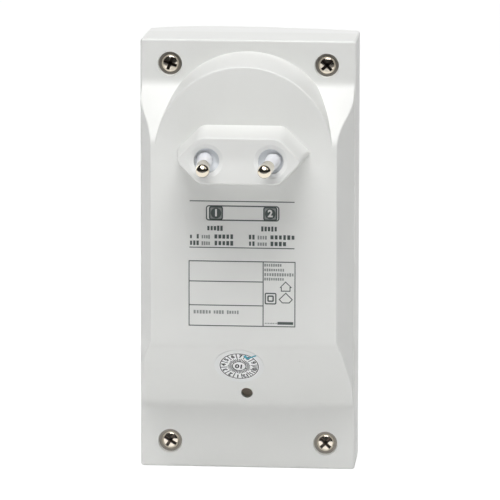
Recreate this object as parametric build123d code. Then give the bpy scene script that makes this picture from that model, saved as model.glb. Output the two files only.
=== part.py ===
from build123d import *
from math import atan, cos, degrees, radians, sin, sqrt, tan
import os

os.makedirs("parts", exist_ok=True)

# A mains chime box that plugs into a wall socket, in millimetres.
# X is to the right and Z up as seen from the plug side. Y runs from the plug into the box.
# The origin is the middle of the plug's face, between the two pins.

# Box
body_width = 63.2
tray_spread = 0.25
body_height = 128.3
top_above_plug = 30.7
body_corner = 0.9
inner_corner = 0.5
housing_wall = 2.2
raised_height = 16.5
raised_width = 54.8
raised_foot_width = 62.6
housing_side_depth = 16.0
shoulder_foot = 17.3
shoulder_top = 3.6
slope_top_rise = 40.0
slope_foot_rise = 19.5
raised_round = 5.0
foot_round = 4.0
edge_round = 0.5
scoop_step = 1.0
upper_bend_start = 5.4
upper_bend_run = 7.0
lower_bend_rise = 42.2
lower_bend_run = 5.6
arch_centre = -1.1
arch_radius = 26.2
arch_foot_centre = 1.7
arch_foot_radius = 25.6
low_edge_round = 0.7
overrun = 1.0
touch_gap = 0.05
fit_gap = 0.1

# Front cover
cover_wall = 2.0
cover_depth = 12.9
cover_narrowing = 0.2
cover_round = 0.8
crest_across = -12.0
bow_left_radius = 34.0
bow_right_radius = 160.0
lip_wall = 1.0
lip_reach = 2.4
lip_root = 1.4

# Plug
plug_width = 35.4
plug_height = 13.6
plug_corner = 4.0
plug_tip_round = 1.7
plug_reach = 17.0
plug_spread = 1.15
plug_wall = 2.4
plug_face_round = 0.5
well_diameter = 7.4
dish_diameter = 9.9
dish_depth = 0.45
well_spacing = 18.6
pin_spacing = 19.6
pin_spacing_at_tip = 17.5
pin_length = 19.0
pin_diameter = 4.0
pin_core_diameter = 2.6
pin_foot_diameter = 5.0
pin_foot_thickness = 1.0
sleeve_root_diameter = 4.5
sleeve_end_diameter = 3.7
sleeve_length = 10.0
carrier_thickness = 3.0
carrier_gap = 0.2
contact_width = 4.0
contact_thickness = 0.6
contact_foot = 4.6
pin_foot_gap = 0.1

# Housing screws, one in each corner of the low back
screw_from_side = 8.5
screw_below_top = 7.4
screw_above_bottom = 7.7
recess_diameter = 7.2
recess_floor_diameter = 6.2
recess_depth = 2.7
recess_floor = 3.2
moat_depth = 4.3
seat_diameter = 5.0
boss_wall = 1.7
screw_hole_diameter = 3.3
screw_head_diameter = 5.4
screw_head_height = 2.0
screw_shank_diameter = 2.9
screw_length = 13.0
screw_turns = (22.0, 48.0, 33.0, 45.0)
crown_share = 0.72
recess_share = 0.58
post_diameter = 7.0
post_bore_diameter = 3.0

# Main board
board_thickness = 1.6
board_back = 36.5
board_side_gap = 1.4
board_top = 14.0
board_bottom_gap = 0.6
board_tail_width = 32.0
board_shoulder_rise = 15.1
board_hole_diameter = 2.8
board_screw_diameter = 2.5
board_screw_bore = 2.6
board_screw_length = 7.0
board_screw_head_diameter = 4.6
board_screw_head_height = 1.6
pillar_diameter = 5.6
pillar_places = ((-19.0, 8.0), (19.0, 8.0), (-21.0, -40.0), (21.0, -40.0))
pad_diameter = 4.0
pad_across = 9.0
pad_rise = 9.1

# Mains supply, on the back of the board
core_width = 30.0
core_length = 25.0
core_stack = 8.0
core_leg = 5.0
core_middle = -25.0
core_to_board = 4.4
bobbin_wall = 0.8
bobbin_play = 0.2
winding_depth = 2.8
winding_gap = 0.1
capacitor_diameter = 8.0
capacitor_length = 12.0
capacitor_place = (21.0, -21.0)
lead_diameter = 0.6
varistor_diameter = 9.0
varistor_thickness = 3.6
varistor_place = (-20.6, -9.0)
varistor_lift = 1.4
fuse_diameter = 3.4
fuse_length = 10.0
fuse_place = (-21.0, -24.0)
diode_diameter = 2.6
diode_length = 5.0
diode_span = 9.0
diode_rows = (-47.0, -50.6, -54.2, -57.8)
diode_middle = -14.0
regulator_diameter = 4.8
regulator_height = 4.8
regulator_flat_share = 0.25
regulator_place = (16.0, -46.5)
regulator_lift = 1.6

# Chips and crystal
melody_length = 19.0
chip_width = 6.4
chip_height = 3.2
chip_lift = 0.4
leg_pitch = 2.54
leg_width = 0.5
leg_thickness = 0.25
melody_place = (6.0, -60.0)
melody_legs = 7
amplifier_length = 9.4
amplifier_place = (-13.0, -66.0)
amplifier_legs = 3
crystal_length = 10.2
crystal_width = 3.8
crystal_height = 3.4
crystal_place = (14.0, -52.4)

# Radio receiver, on the front of the board
receiver_width = 31.0
receiver_height = 13.0
receiver_thickness = 1.0
receiver_middle = (0.0, -13.0)
receiver_lift = 2.6
shield_width = 14.0
shield_height = 9.0
shield_depth = 2.6
header_pin = 0.64
header_count = 8
aerial_diameter = 1.1
wire_bend_share = 3.0
bend_run_share = 0.45
aerial_x = 27.4

# Push switches in the slot of the underside
switch_across = 15.8
switch_size = 6.0
switch_depth = 3.6
switch_middle = 41.5
switch_window_gap = 0.15
slot_width = 23.6
slot_height = 8.0
slot_corner = 1.6
slot_depth = 1.0
button_diameter = 3.5
button_below_face = 0.2
button_length = 2.4
button_travel = 0.5
button_play = 0.1
dome_thickness = 0.2
dome_clearance = 0.3

# Status light and light pipe
light_place = 12.0
lamp_diameter = 3.0
lamp_flange_diameter = 3.8
lamp_flange = 1.0
lamp_height = 4.6
pipe_diameter = 4.0
pipe_collar_diameter = 6.0
pipe_collar = 1.2
pipe_gap = 0.5
pipe_proud = 0.3

# Loudspeaker, behind the grille of the front cover
speaker_rise = 43.6
speaker_radius = 25.0
seat_inner_radius = 21.2
seat_outer_radius = 25.6
seat_face = 53.4
cloth_thickness = 0.3
gasket_thickness = 0.8
gasket_inner_radius = 22.4
surround_thickness = 0.4
surround_inner_radius = 19.2
surround_roll_height = 0.55
frame_thickness = 0.8
frame_flange_inner = 22.2
frame_lower_radius = 15.6
frame_ledge_radius = 12.6
frame_bore_radius = 8.2
frame_drop = 1.25
spider_plane = 46.0
spider_outer_radius = 14.6
spider_thickness = 0.35
cone_outer_radius = 19.0
cone_thickness = 0.5
cone_depth = 4.6
dust_cap_rise = 1.6
coil_inner_radius = 6.4
coil_wall = 0.5
gap_inner_radius = 6.0
gap_outer_radius = 7.3
top_plate_radius = 13.0
top_plate_thickness = 1.2
magnet_inner_radius = 8.6
magnet_outer_radius = 14.0
magnet_thickness = 3.0
yoke_radius = 13.0
yoke_thickness = 1.2
cone_travel = 0.4
cone_neck_lift = 0.8
clamp_count = 3
clamp_width = 5.0
clamp_thickness = 1.0
clamp_reach = 28.3
clamp_start_angle = 30.0
clamp_post_diameter = 4.6
clamp_screw_diameter = 2.2
clamp_screw_bore = 2.4
clamp_screw_length = 4.0
clamp_head_diameter = 4.0
clamp_head_height = 1.4
speaker_lead_diameter = 1.1
speaker_lead_across = 5.0
speaker_lead_board = -24.0
speaker_lead_top = 45.0
speaker_lead_low = 42.5
terminal_width = 9.0
terminal_height = 5.0
terminal_thickness = 1.0

# Grille of the front cover
grille_radius = 18.6
grille_slot = 1.8
grille_pitch = 3.9
grille_rows = 9

# Hole in the lower slope, and the round date sticker above it
slope_hole_diameter = 3.5
slope_hole_rise = 23.3
sticker_diameter = 14.6
sticker_across = -1.6
sticker_rise = 33.0
sticker_thickness = 0.12

# Places that follow from the sizes above
body_top = top_above_plug
body_bottom = top_above_plug - body_height
body_middle = (body_top + body_bottom) / 2
half_width = body_width / 2
slope_top = body_bottom + slope_top_rise
slope_foot = body_bottom + slope_foot_rise
lower_bend_start = body_bottom + lower_bend_rise
slope_hole_place = body_bottom + slope_hole_rise
sticker_place = (sticker_across, body_bottom + sticker_rise)
board_width = body_width - 2 * (housing_wall + board_side_gap)
board_shoulder = body_bottom + board_shoulder_rise
pad_places = [(side * pad_across, body_bottom + pad_rise) for side in (-1, 1)]
speaker_middle = body_bottom + speaker_rise
screw_across = body_width - 2 * screw_from_side
screw_upper = body_top - screw_below_top
screw_lower = body_bottom + screw_above_bottom
raised_back = plug_reach
low_back = raised_back + raised_height
parting = low_back + housing_side_depth
cover_front = parting + cover_depth
board_front = board_back + board_thickness
carrier_front = plug_wall + touch_gap
carrier_back = carrier_front + carrier_thickness
screw_seat = low_back + recess_depth
core_depth = board_back - core_to_board - core_stack / 2
dome_base = body_bottom + button_below_face + button_length + button_travel + dome_clearance + dome_thickness
cloth_back = seat_face - cloth_thickness
gasket_back = cloth_back - gasket_thickness
flange_front = gasket_back - surround_thickness
flange_back = flange_front - frame_thickness
clamp_back = flange_back - clamp_thickness
ledge = spider_plane - touch_gap
base_back = ledge - frame_drop - frame_thickness
coil_outer_radius = coil_inner_radius + coil_wall + fit_gap
cone_neck = spider_plane + cone_neck_lift
screw_places = [(side * screw_across / 2, height)
                for height in (screw_upper, screw_lower) for side in (-1, 1)]


def depth_plane(depth):
    """The plane at one depth, drawn on with X to the right and Z up."""
    return Plane((0, depth, 0), x_dir=(1, 0, 0), z_dir=(0, -1, 0))


def slab(outline, front, back):
    """An outline in X and Z, made solid from one depth to a deeper one."""
    return extrude(depth_plane(back) * outline, back - front)


def tapered(front_outline, front, back_outline, back):
    """A solid with straight sides between two like outlines."""
    return loft([depth_plane(front) * front_outline, depth_plane(back) * back_outline], ruled=True)


def disc(place, radius, front, back):
    return slab(Pos(*place) * Circle(radius), front, back)


def ring(place, outer, inner, front, back):
    return slab(Pos(*place) * (Circle(outer) - Circle(inner)), front, back)


def block(x_span, y_span, z_span):
    """A box between the low and high values of X, Y and Z."""
    spans = (x_span, y_span, z_span)
    middle = [(low + high) / 2 for low, high in spans]
    return Pos(*middle) * Box(*[high - low for low, high in spans])


def around(middle, size):
    """The low and high value of a size about its middle."""
    return (middle - size / 2, middle + size / 2)


def turned(points, place):
    """A solid of revolution about a line along Y, from points given as radius and depth."""
    face = make_face(Polyline([(radius, depth) for radius, depth in points], close=True))
    return Pos(place[0], 0, place[1]) * revolve(face, Axis.Y)


def screw(place, seat, direction, head_diameter, head_height, shank_diameter, length, turn=0):
    """A pan head screw along Y with a cross recess, its head's seat at the given depth."""
    head = head_diameter / 2
    shank = shank_diameter / 2
    crown = seat - direction * head_height
    shoulder = seat - direction * head_height / 2
    tip = seat + direction * length
    points = [(0, crown), (head * crown_share, crown + direction * head_height / 12), (head, shoulder),
              (head, seat), (shank, seat), (shank, tip - direction * shank), (0, tip)]
    body = turned(points, place)
    slot = head_diameter * recess_share
    recess = block(around(0, slot), around(crown, head_height), around(0, head_diameter / 7))
    for angle in (turn, turn + 90):
        body -= Pos(place[0], 0, place[1]) * Rot(0, angle, 0) * recess
    return body


# Rear housing: one white moulding, a tray with a raised middle that carries the plug

def plug_outline(grow):
    """The six-sided outline of the plug with rounded corners."""
    half = plug_width / 2 + plug_tip_round * (sqrt(2) - 1) + grow * sqrt(2)
    rise = plug_height / 2 + grow
    flat = half - rise
    corners = [(-half, 0), (-flat, rise), (flat, rise), (half, 0), (flat, -rise), (-flat, -rise)]
    face = make_face(Polyline(corners, close=True))
    face = fillet(face.vertices().group_by(Axis.Y)[1], plug_tip_round)
    long_edges = face.edges().group_by(Axis.Y)
    return fillet(long_edges[0].vertices() + long_edges[-1].vertices(), plug_corner)


def plug_block(front, inset):
    """The plug's platform, which widens towards the raised back."""
    back = raised_back + inset + (overrun if inset else 0)
    front_grow = plug_spread * front / plug_reach - inset
    back_grow = plug_spread * back / plug_reach - inset
    block_form = tapered(plug_outline(front_grow), front, plug_outline(back_grow), back)
    if inset:
        return block_form
    return fillet(block_form.faces().sort_by(Axis.Y)[0].edges(), plug_face_round)


def side_scoop(inset):
    """What the drafted side of the raised back leaves free on the right, widened at both ends."""
    draft = half_width - raised_width / 2
    ahead = overrun / raised_height
    side = raised_width / 2 - inset - draft * ahead
    wide = side + scoop_step
    far = half_width + draft + overrun
    middle = side + scoop_step / 2

    def bend(begin, run):
        """Two arcs that carry the side out to the wider end."""
        sag = scoop_step / 8
        first = ThreePointArc((side, begin), (side + sag, begin + run / 4), (middle, begin + run / 2))
        second = ThreePointArc((middle, begin + run / 2), (wide - sag, begin + run * 3 / 4),
                               (wide, begin + run))
        return [first, second]

    upper = upper_bend_start + upper_bend_run
    lower = lower_bend_start - lower_bend_run
    edges = [Line((side, lower_bend_start), (side, upper_bend_start))]
    edges += bend(upper_bend_start, upper_bend_run) + bend(lower_bend_start, -lower_bend_run)
    edges += [Polyline([(wide, upper), (wide, body_top), (far, body_top), (far, body_bottom),
                        (wide, body_bottom), (wide, lower)])]
    base = depth_plane(raised_back - overrun) * make_face(edges)
    reach = 1 + ahead + housing_side_depth / raised_height
    return Solid.extrude(base.face(), Vector(draft, raised_height, 0) * reach)


def raised_profile(inset):
    """The raised back seen from the side: shoulder, flat back and lower slope."""
    embed = 3 * housing_wall
    low_end = slope_foot - foot_round
    high_end = shoulder_foot + foot_round
    points = [(low_back + embed, low_end), (low_back, low_end), (low_back, slope_foot),
              (raised_back, slope_top), (raised_back, shoulder_top), (low_back, shoulder_foot),
              (low_back, high_end), (low_back + embed, high_end)]
    face = make_face(Polyline(points, close=True))
    if inset:
        return offset(face, amount=-inset, kind=Kind.INTERSECTION)
    crests = face.vertices().sort_by(Axis.X)[:2]
    face = fillet(crests, raised_round)
    feet = [vertex for vertex in face.vertices()
            if min(abs(vertex.Y - slope_foot), abs(vertex.Y - shoulder_foot)) < touch_gap]
    return fillet(feet, foot_round)


def arch(inset):
    """The round boss that carries the plug above the shoulder."""
    front = raised_back + inset
    back = low_back + inset + (overrun if inset else 0)

    def outline(depth):
        share = (depth - raised_back) / raised_height
        centre = arch_centre + share * (arch_foot_centre - arch_centre)
        radius = arch_radius + share * (arch_foot_radius - arch_radius) - inset
        return Pos(0, centre) * Circle(radius)

    boss = tapered(outline(front), front, outline(back), back)
    if inset:
        return boss
    return fillet(boss.faces().sort_by(Axis.Y)[0].edges(), edge_round)


def raised_body(inset):
    width = raised_foot_width - 2 * inset
    body = extrude(Plane.YZ * raised_profile(inset), width / 2, both=True)
    scoop = side_scoop(inset)
    body = body - scoop - mirror(scoop, about=Plane.YZ)
    if inset:
        return body + arch(inset)
    flat = body.faces().sort_by(Axis.Y)[0]
    rims = [edge for edge in flat.edges() if abs((edge % 0.5).Z) > 0.5]
    return fillet(rims, edge_round) + arch(inset)


def depth_edges(form):
    """The edges that run along Y, or nearly so."""
    return [edge for edge in form.edges() if abs((edge % 0.5).Y) > 0.9]


def tray(inset):
    """The low part of the housing, open towards the front cover."""
    front = low_back + inset
    back = parting + (overrun if inset else 0)
    right = [(half_width - inset + tray_spread * (parting - depth) / housing_side_depth, depth)
             for depth in (front, back)]
    left = [(-across, depth) for across, depth in reversed(right)]
    section = Plane.XY.offset(body_bottom + inset) * make_face(Polyline(right + left, close=True))
    box = extrude(section, body_height - 2 * inset)
    box = fillet(depth_edges(box), inner_corner if inset else body_corner)
    if inset:
        return box
    return fillet(box.faces().sort_by(Axis.Y)[0].edges(), low_edge_round)


def housing_form(inset):
    platform_front = plug_wall if inset else 0
    return tray(inset) + raised_body(inset) + plug_block(platform_front, inset)


def slope_depth(height):
    """The depth of the lower slope's outer face at one height."""
    return raised_back + raised_height * (slope_top - height) / (slope_top - slope_foot)


def rear_housing():
    boss_radius = recess_diameter / 2 + boss_wall
    boss_back = low_back + recess_depth + recess_floor
    cavity = housing_form(housing_wall)
    for place in screw_places:
        cavity -= disc(place, boss_radius, low_back, boss_back)
    for place in pillar_places:
        cavity -= disc(place, pillar_diameter / 2, raised_back, board_back)
    for place in pad_places:
        cavity -= disc(place, pad_diameter / 2, raised_back, board_back)
    housing = housing_form(0) - cavity
    for place in screw_places:
        outline = Pos(*place) * Circle(recess_diameter / 2)
        floor = Pos(*place) * Circle(recess_floor_diameter / 2)
        moat = tapered(outline, low_back, floor, low_back + moat_depth)
        housing -= moat - disc(place, seat_diameter / 2, screw_seat, boss_back)
        housing -= disc(place, screw_hole_diameter / 2, low_back, parting)
    for x, z in pillar_places:
        housing -= disc((x, z), board_screw_bore / 2, board_back - board_screw_length, board_back)
    for side in (-1, 1):
        place = (side * well_spacing / 2, 0)
        housing -= disc(place, well_diameter / 2, -overrun, plug_wall + overrun)
        dish = Pos(*place) * Circle(dish_diameter / 2)
        dish_floor = Pos(*place) * Circle(well_diameter / 2)
        housing -= tapered(dish, 0, dish_floor, dish_depth)
    hole_front = slope_depth(slope_hole_place) - recess_depth
    housing -= disc((0, slope_hole_place), slope_hole_diameter / 2, hole_front, board_back)
    slot = Pos(0, switch_middle) * RectangleRounded(slot_width, slot_height, slot_corner)
    housing -= extrude(Plane.XY.offset(body_bottom) * slot, slot_depth)
    window = switch_size + 2 * switch_window_gap
    for side in (-1, 1):
        housing -= block(around(side * switch_across / 2, window), around(switch_middle, window),
                         (body_bottom, body_bottom + housing_wall + overrun))
    return housing


# Front cover: a bowed white shell with a grille, held by the four screws

def bow_depth(across, inset):
    """The depth of the front, which falls away faster on the left of its crest."""
    run = across - crest_across
    radius = bow_right_radius if run > 0 else bow_left_radius
    return cover_front - radius + sqrt((radius - inset) ** 2 - run ** 2)


def cover_form(inset):
    half = half_width - inset
    end = half - cover_narrowing
    start = parting - (overrun if inset else 0)
    crest = (crest_across, bow_depth(crest_across, inset))
    left, left_middle, right_middle, right = [
        (across, bow_depth(across, inset))
        for across in (-end, (crest_across - end) / 2, (crest_across + end) / 2, end)]
    edges = [Polyline([left, (-half, start), (half, start), right]),
             ThreePointArc(right, right_middle, crest), ThreePointArc(crest, left_middle, left)]
    bottom = body_bottom + inset
    section = Plane.XY.offset(bottom) * make_face(edges)
    form = extrude(section, body_height - 2 * inset)
    if inset:
        return form
    form = fillet(depth_edges(form), body_corner)
    fronts = [face for face in form.faces() if face.normal_at().Y > 0.5]
    rims = [edge for face in fronts for edge in face.edges()
            if abs(edge.center().X - crest_across) > touch_gap]
    return fillet(rims, cover_round)


def frame_outline(outer_inset, inner_inset):
    outer = RectangleRounded(body_width - 2 * outer_inset, body_height - 2 * outer_inset, inner_corner)
    inner = Rectangle(body_width - 2 * inner_inset, body_height - 2 * inner_inset)
    return Pos(0, body_middle) * (outer - inner)


def clamp_angles():
    return [clamp_start_angle + turn * 360 / clamp_count for turn in range(clamp_count)]


def clamp_place(reach, angle):
    return (reach * cos(radians(angle)), speaker_middle + reach * sin(radians(angle)))


def front_cover():
    cavity = cover_form(cover_wall)
    cavity -= ring((0, speaker_middle), seat_outer_radius, seat_inner_radius, seat_face, cover_front)
    for place in screw_places:
        cavity -= disc(place, post_diameter / 2, parting - overrun, cover_front)
    for angle in clamp_angles():
        place = clamp_place(clamp_reach, angle)
        cavity -= disc(place, clamp_post_diameter / 2, flange_back, cover_front)
    cover = cover_form(0) - cavity
    lip_outer = housing_wall + fit_gap
    lip_inner = lip_outer + lip_wall
    cover += slab(frame_outline(lip_outer, lip_inner), parting - lip_reach, parting + lip_root)
    cover += slab(frame_outline(cover_wall / 2, lip_inner), parting, parting + lip_root)
    post_end = low_back + recess_depth + recess_floor + touch_gap
    for place in screw_places:
        cover += disc(place, post_diameter / 2, post_end, parting + lip_root)
        cover -= disc(place, post_bore_diameter / 2, post_end, screw_seat + screw_length + overrun)
    for angle in clamp_angles():
        place = clamp_place(clamp_reach, angle)
        bore_end = clamp_back + clamp_screw_length + clamp_thickness / 4
        cover -= disc(place, clamp_screw_bore / 2, flange_back, bore_end)
    middle_row = (grille_rows - 1) / 2
    for row in range(grille_rows):
        rise = (row - middle_row) * grille_pitch
        length = 2 * sqrt(grille_radius ** 2 - rise ** 2)
        slot = Pos(0, speaker_middle + rise) * SlotOverall(length, grille_slot)
        cover -= slab(slot, seat_face, cover_front + overrun)
    hole = pipe_diameter / 2 + fit_gap
    return cover - disc((0, light_place), hole, parting, cover_front + overrun)


# Plug: two brass pins with plastic sleeves, moulded carrier and two spring contacts

def pin_lean():
    """The angle at which each pin leans towards the other."""
    return atan((pin_spacing - pin_spacing_at_tip) / 2 / pin_length)


def foot_dip():
    """How far one edge of a leaning pin's foot lies in front of its middle."""
    return pin_foot_diameter / 2 * sin(pin_lean())


def lay_pin(piece, side):
    """Puts a piece that is drawn along Y on one pin's leaning axis."""
    return Pos(side * pin_spacing / 2, 0, 0) * Rot(0, 0, -side * degrees(pin_lean())) * piece


def plug_pin(side):
    radius = pin_diameter / 2
    core = pin_core_diameter / 2
    foot = pin_foot_diameter / 2
    foot_front = carrier_back + touch_gap + foot_dip()
    foot_back = foot_front + pin_foot_thickness
    ball = -pin_length + radius
    rim = radius / sqrt(2)
    edges = [Polyline([(0, -pin_length), (0, foot_back), (foot, foot_back), (foot, foot_front),
                       (core, foot_front), (core, -sleeve_length), (radius, -sleeve_length),
                       (radius, ball)]),
             ThreePointArc((radius, ball), (rim, ball - rim), (0, -pin_length))]
    return lay_pin(revolve(make_face(edges), Axis.Y), side)


def pin_sleeve(side):
    core = pin_core_diameter / 2 + touch_gap
    front = touch_gap - sleeve_length
    back = carrier_front - fit_gap
    points = [(core, front), (sleeve_end_diameter / 2, front), (sleeve_root_diameter / 2, back), (core, back)]
    return lay_pin(turned(points, (0, 0)), side)


def pin_carrier():
    grow = plug_spread * plug_wall / plug_reach - housing_wall - carrier_gap
    carrier = slab(plug_outline(grow), carrier_front, carrier_back)
    for side in (-1, 1):
        bore = disc((0, 0), pin_core_diameter / 2 + touch_gap, -overrun, carrier_back + overrun)
        carrier -= lay_pin(bore, side)
    return carrier


def pin_contact(side):
    """A bent strip that presses on the pin's foot and is soldered to the board."""
    front = carrier_back + pin_foot_thickness + foot_dip() + 2 * pin_foot_gap
    across = around(side * pin_spacing / 2, contact_width)
    foot = block(across, (front, front + contact_thickness), around(0, contact_foot))
    low = -contact_foot / 2
    leg = block(across, (front, board_back - touch_gap), (low - contact_thickness, low))
    return foot + leg


def housing_screws():
    return [screw(place, screw_seat, 1, screw_head_diameter, screw_head_height, screw_shank_diameter,
                  screw_length, turn) for place, turn in zip(screw_places, screw_turns)]


def date_sticker():
    """A round paper sticker on the lower slope."""
    across, height = sticker_place
    run = slope_top - slope_foot
    normal = Vector(0, -run, -raised_height).normalized()
    spot = Vector(across, slope_depth(height), height) + normal * touch_gap
    face = Plane(spot, x_dir=(1, 0, 0), z_dir=normal) * Circle(sticker_diameter / 2)
    return extrude(face, sticker_thickness)


# Main board and its screws

def main_board():
    bottom = body_bottom + housing_wall + board_bottom_gap
    half = board_width / 2
    tail = board_tail_width / 2
    corners = [(-half, board_top), (half, board_top), (half, board_shoulder), (tail, board_shoulder),
               (tail, bottom), (-tail, bottom), (-tail, board_shoulder), (-half, board_shoulder)]
    board = slab(make_face(Polyline(corners, close=True)), board_back, board_front)
    for place in pillar_places:
        board -= disc(place, board_hole_diameter / 2, board_back, board_front)
    return board


def board_screws():
    return [screw(place, board_front, -1, board_screw_head_diameter, board_screw_head_height,
                  board_screw_diameter, board_screw_length) for place in pillar_places]


# Transformer on the back of the board

def transformer_core():
    """The laminated core with its middle leg and two windows."""
    front = core_depth - core_stack / 2
    window = core_length - 2 * core_leg
    core = slab(Pos(0, core_middle) * Rectangle(core_width, core_length), front, front + core_stack)
    window_width = (core_width - 4 * core_leg) / 2
    for side in (-1, 1):
        place = Pos(side * (core_leg + window_width / 2), core_middle)
        core -= slab(place * Rectangle(window_width, window), front, front + core_stack)
    return core


def bobbin_ring(grow, inner, low, high):
    """A rectangular ring round the core's middle leg."""
    width = 2 * core_leg
    outer = Rectangle(width + 2 * grow, core_stack + 2 * grow)
    hole = Rectangle(width + 2 * inner, core_stack + 2 * inner)
    face = Plane.XY.offset(low) * Pos(0, core_depth) * (outer - hole)
    return extrude(face, high - low)


def winding_spans():
    """The heights of the two windings between the bobbin's flanges."""
    half = core_length / 2 - core_leg - bobbin_play
    low = core_middle - half + bobbin_wall + winding_gap
    high = core_middle + half - bobbin_wall - winding_gap
    web = bobbin_wall / 2 + winding_gap
    return [(low, core_middle - web), (core_middle + web, high)]


def transformer_bobbin():
    half = core_length / 2 - core_leg - bobbin_play
    inner = bobbin_play
    wall = inner + bobbin_wall
    flange = wall + winding_depth + winding_gap
    bobbin = bobbin_ring(wall, inner, core_middle - half, core_middle + half)
    for middle in (core_middle - half + bobbin_wall / 2, core_middle, core_middle + half - bobbin_wall / 2):
        low, high = around(middle, bobbin_wall)
        bobbin += bobbin_ring(flange, inner, low, high)
    foot_front = core_depth + core_stack / 2 + bobbin_play
    for middle in (core_middle - half + bobbin_wall / 2, core_middle + half - bobbin_wall / 2):
        bobbin += block(around(0, 2 * core_leg), (foot_front, board_back - touch_gap),
                        around(middle, bobbin_wall))
    return bobbin


def transformer_windings():
    inner = bobbin_play + bobbin_wall + touch_gap
    return [bobbin_ring(inner + winding_depth, inner, low, high) for low, high in winding_spans()]


# Small parts of the mains supply

def axial_part(place, diameter, length, span, upright):
    """A barrel on two bent wires, along Z where upright, else along X."""
    across, height = place
    depth = board_back - diameter / 2 - chip_lift
    barrel = Rot(0, 90, 0) * Cylinder(diameter / 2, length)
    barrel += Rot(0, 90, 0) * Cylinder(lead_diameter / 2, span)
    for end in (-span / 2, span / 2):
        drop = board_back - touch_gap - depth + lead_diameter / 2
        leg = Rot(90, 0, 0) * Cylinder(lead_diameter / 2, drop)
        barrel += Pos(end, (drop - lead_diameter) / 2, 0) * leg
    turn = Rot(0, 90, 0) if upright else Rot(0, 0, 0)
    return Pos(across, depth, height) * turn * barrel


def fuse_resistor():
    return axial_part(fuse_place, fuse_diameter, fuse_length, fuse_length + fuse_diameter, True)


def rectifier_diodes():
    return [axial_part((diode_middle, row), diode_diameter, diode_length, diode_span, False)
            for row in diode_rows]


def varistor():
    across, height = varistor_place
    depth = board_back - varistor_lift - varistor_diameter / 2
    body = Pos(across, depth, height) * Rot(0, 90, 0) * Cylinder(varistor_diameter / 2, varistor_thickness)
    body = fillet(body.edges(), varistor_thickness / 4)
    for side in (-1, 1):
        place = (across, height + side * varistor_diameter / 4)
        body += disc(place, lead_diameter / 2, depth, board_back - touch_gap)
    return body


def smoothing_capacitor():
    front = board_back - touch_gap - capacitor_length
    can = disc(capacitor_place, capacitor_diameter / 2, front, board_back - touch_gap)
    groove = capacitor_diameter / 20
    waist = board_back - capacitor_length / 6
    can -= ring(capacitor_place, capacitor_diameter / 2 + groove, capacitor_diameter / 2 - groove,
                waist - groove, waist + groove)
    return can


def voltage_regulator():
    radius = regulator_diameter / 2
    flat = radius * (1 - regulator_flat_share)
    outline = Circle(radius) & Pos(0, flat - radius) * Rectangle(2 * radius, 2 * radius)
    back = board_back - regulator_lift
    body = slab(Pos(*regulator_place) * outline, back - regulator_height, back)
    for step in (-1, 0, 1):
        place = (regulator_place[0] + step * leg_pitch / 2, regulator_place[1])
        body += disc(place, leg_width / 2, back - leg_width, board_back - touch_gap)
    return body


# Chips and crystal

def chip(place, length, legs):
    """A moulded chip with a row of legs along each side."""
    across, height = place
    back = board_back - chip_lift
    body = block(around(across, length), (back - chip_height, back), around(height, chip_width))
    shoulder = back - chip_height / 2
    for side in (-1, 1):
        inner = height + side * (chip_width / 2 - leg_thickness)
        outer = height + side * (chip_width / 2 + leg_thickness * 2)
        for step in range(legs):
            middle = across + (step - (legs - 1) / 2) * leg_pitch
            x_span = around(middle, leg_width)
            arm = (min(inner, outer), max(inner, outer))
            body += block(x_span, around(shoulder, leg_thickness), arm)
            foot = around(outer - side * leg_thickness / 2, leg_thickness)
            body += block(x_span, (shoulder, board_back - touch_gap), foot)
    return body


def melody_chip():
    return chip(melody_place, melody_length, melody_legs)


def amplifier_chip():
    return chip(amplifier_place, amplifier_length, amplifier_legs)


def crystal():
    outline = Pos(*crystal_place) * SlotOverall(crystal_length, crystal_width)
    back = board_back - touch_gap
    return slab(outline, back - crystal_height, back)


# Radio receiver on the front of the board

def receiver_board():
    outline = Pos(*receiver_middle) * Rectangle(receiver_width, receiver_height)
    front = board_front + receiver_lift
    return slab(outline, front, front + receiver_thickness)


def receiver_pins():
    low = receiver_middle[1] - receiver_height / 2 + leg_pitch / 2
    pins = []
    for step in range(header_count):
        middle = receiver_middle[0] + (step - (header_count - 1) / 2) * leg_pitch
        pins.append(block(around(middle, header_pin),
                          (board_front + touch_gap, board_front + receiver_lift - touch_gap),
                          around(low, header_pin)))
    return pins


def receiver_shield():
    base = board_front + receiver_lift + receiver_thickness + touch_gap
    across = receiver_middle[0] - receiver_width / 2 + shield_width / 2 + overrun
    height = receiver_middle[1] + overrun
    sheet = leg_thickness
    can = slab(Pos(across, height) * Rectangle(shield_width, shield_height), base, base + shield_depth)
    inner = Rectangle(shield_width - 2 * sheet, shield_height - 2 * sheet)
    return can - slab(Pos(across, height) * inner, base, base + shield_depth - sheet)


def tuning_coil():
    base = board_front + receiver_lift + receiver_thickness + touch_gap
    across = receiver_middle[0] + receiver_width / 4
    radius = shield_height / 5
    return ring((across, receiver_middle[1]), radius, radius / 2, base, base + shield_depth)


def wire(points, diameter):
    """A round wire through points, with bends as wide as its runs allow."""
    radii = []
    for before, corner, after in zip(points, points[1:], points[2:]):
        arrive = Vector(*corner) - Vector(*before)
        leave = Vector(*after) - Vector(*corner)
        half_turn = radians(arrive.get_angle(leave)) / 2
        shorter = min(arrive.length, leave.length)
        radii.append(min(bend_run_share * shorter / tan(half_turn), wire_bend_share * diameter))
    path = FilletPolyline(points, radius=radii)
    section = Plane(path @ 0, z_dir=path % 0) * Circle(diameter / 2)
    return sweep(section, path=path)


def aerial_wire():
    start = board_front + touch_gap
    depth = board_front + receiver_lift * 2
    low = receiver_middle[1]
    high = body_top - housing_wall - aerial_diameter / 2 - fit_gap * 2
    points = [(aerial_x, start, low), (aerial_x, depth, low), (aerial_x, depth, high),
              (-screw_across / 2 + post_diameter, depth, high)]
    return wire(points, aerial_diameter)


# Push switches in the slot of the underside

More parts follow.
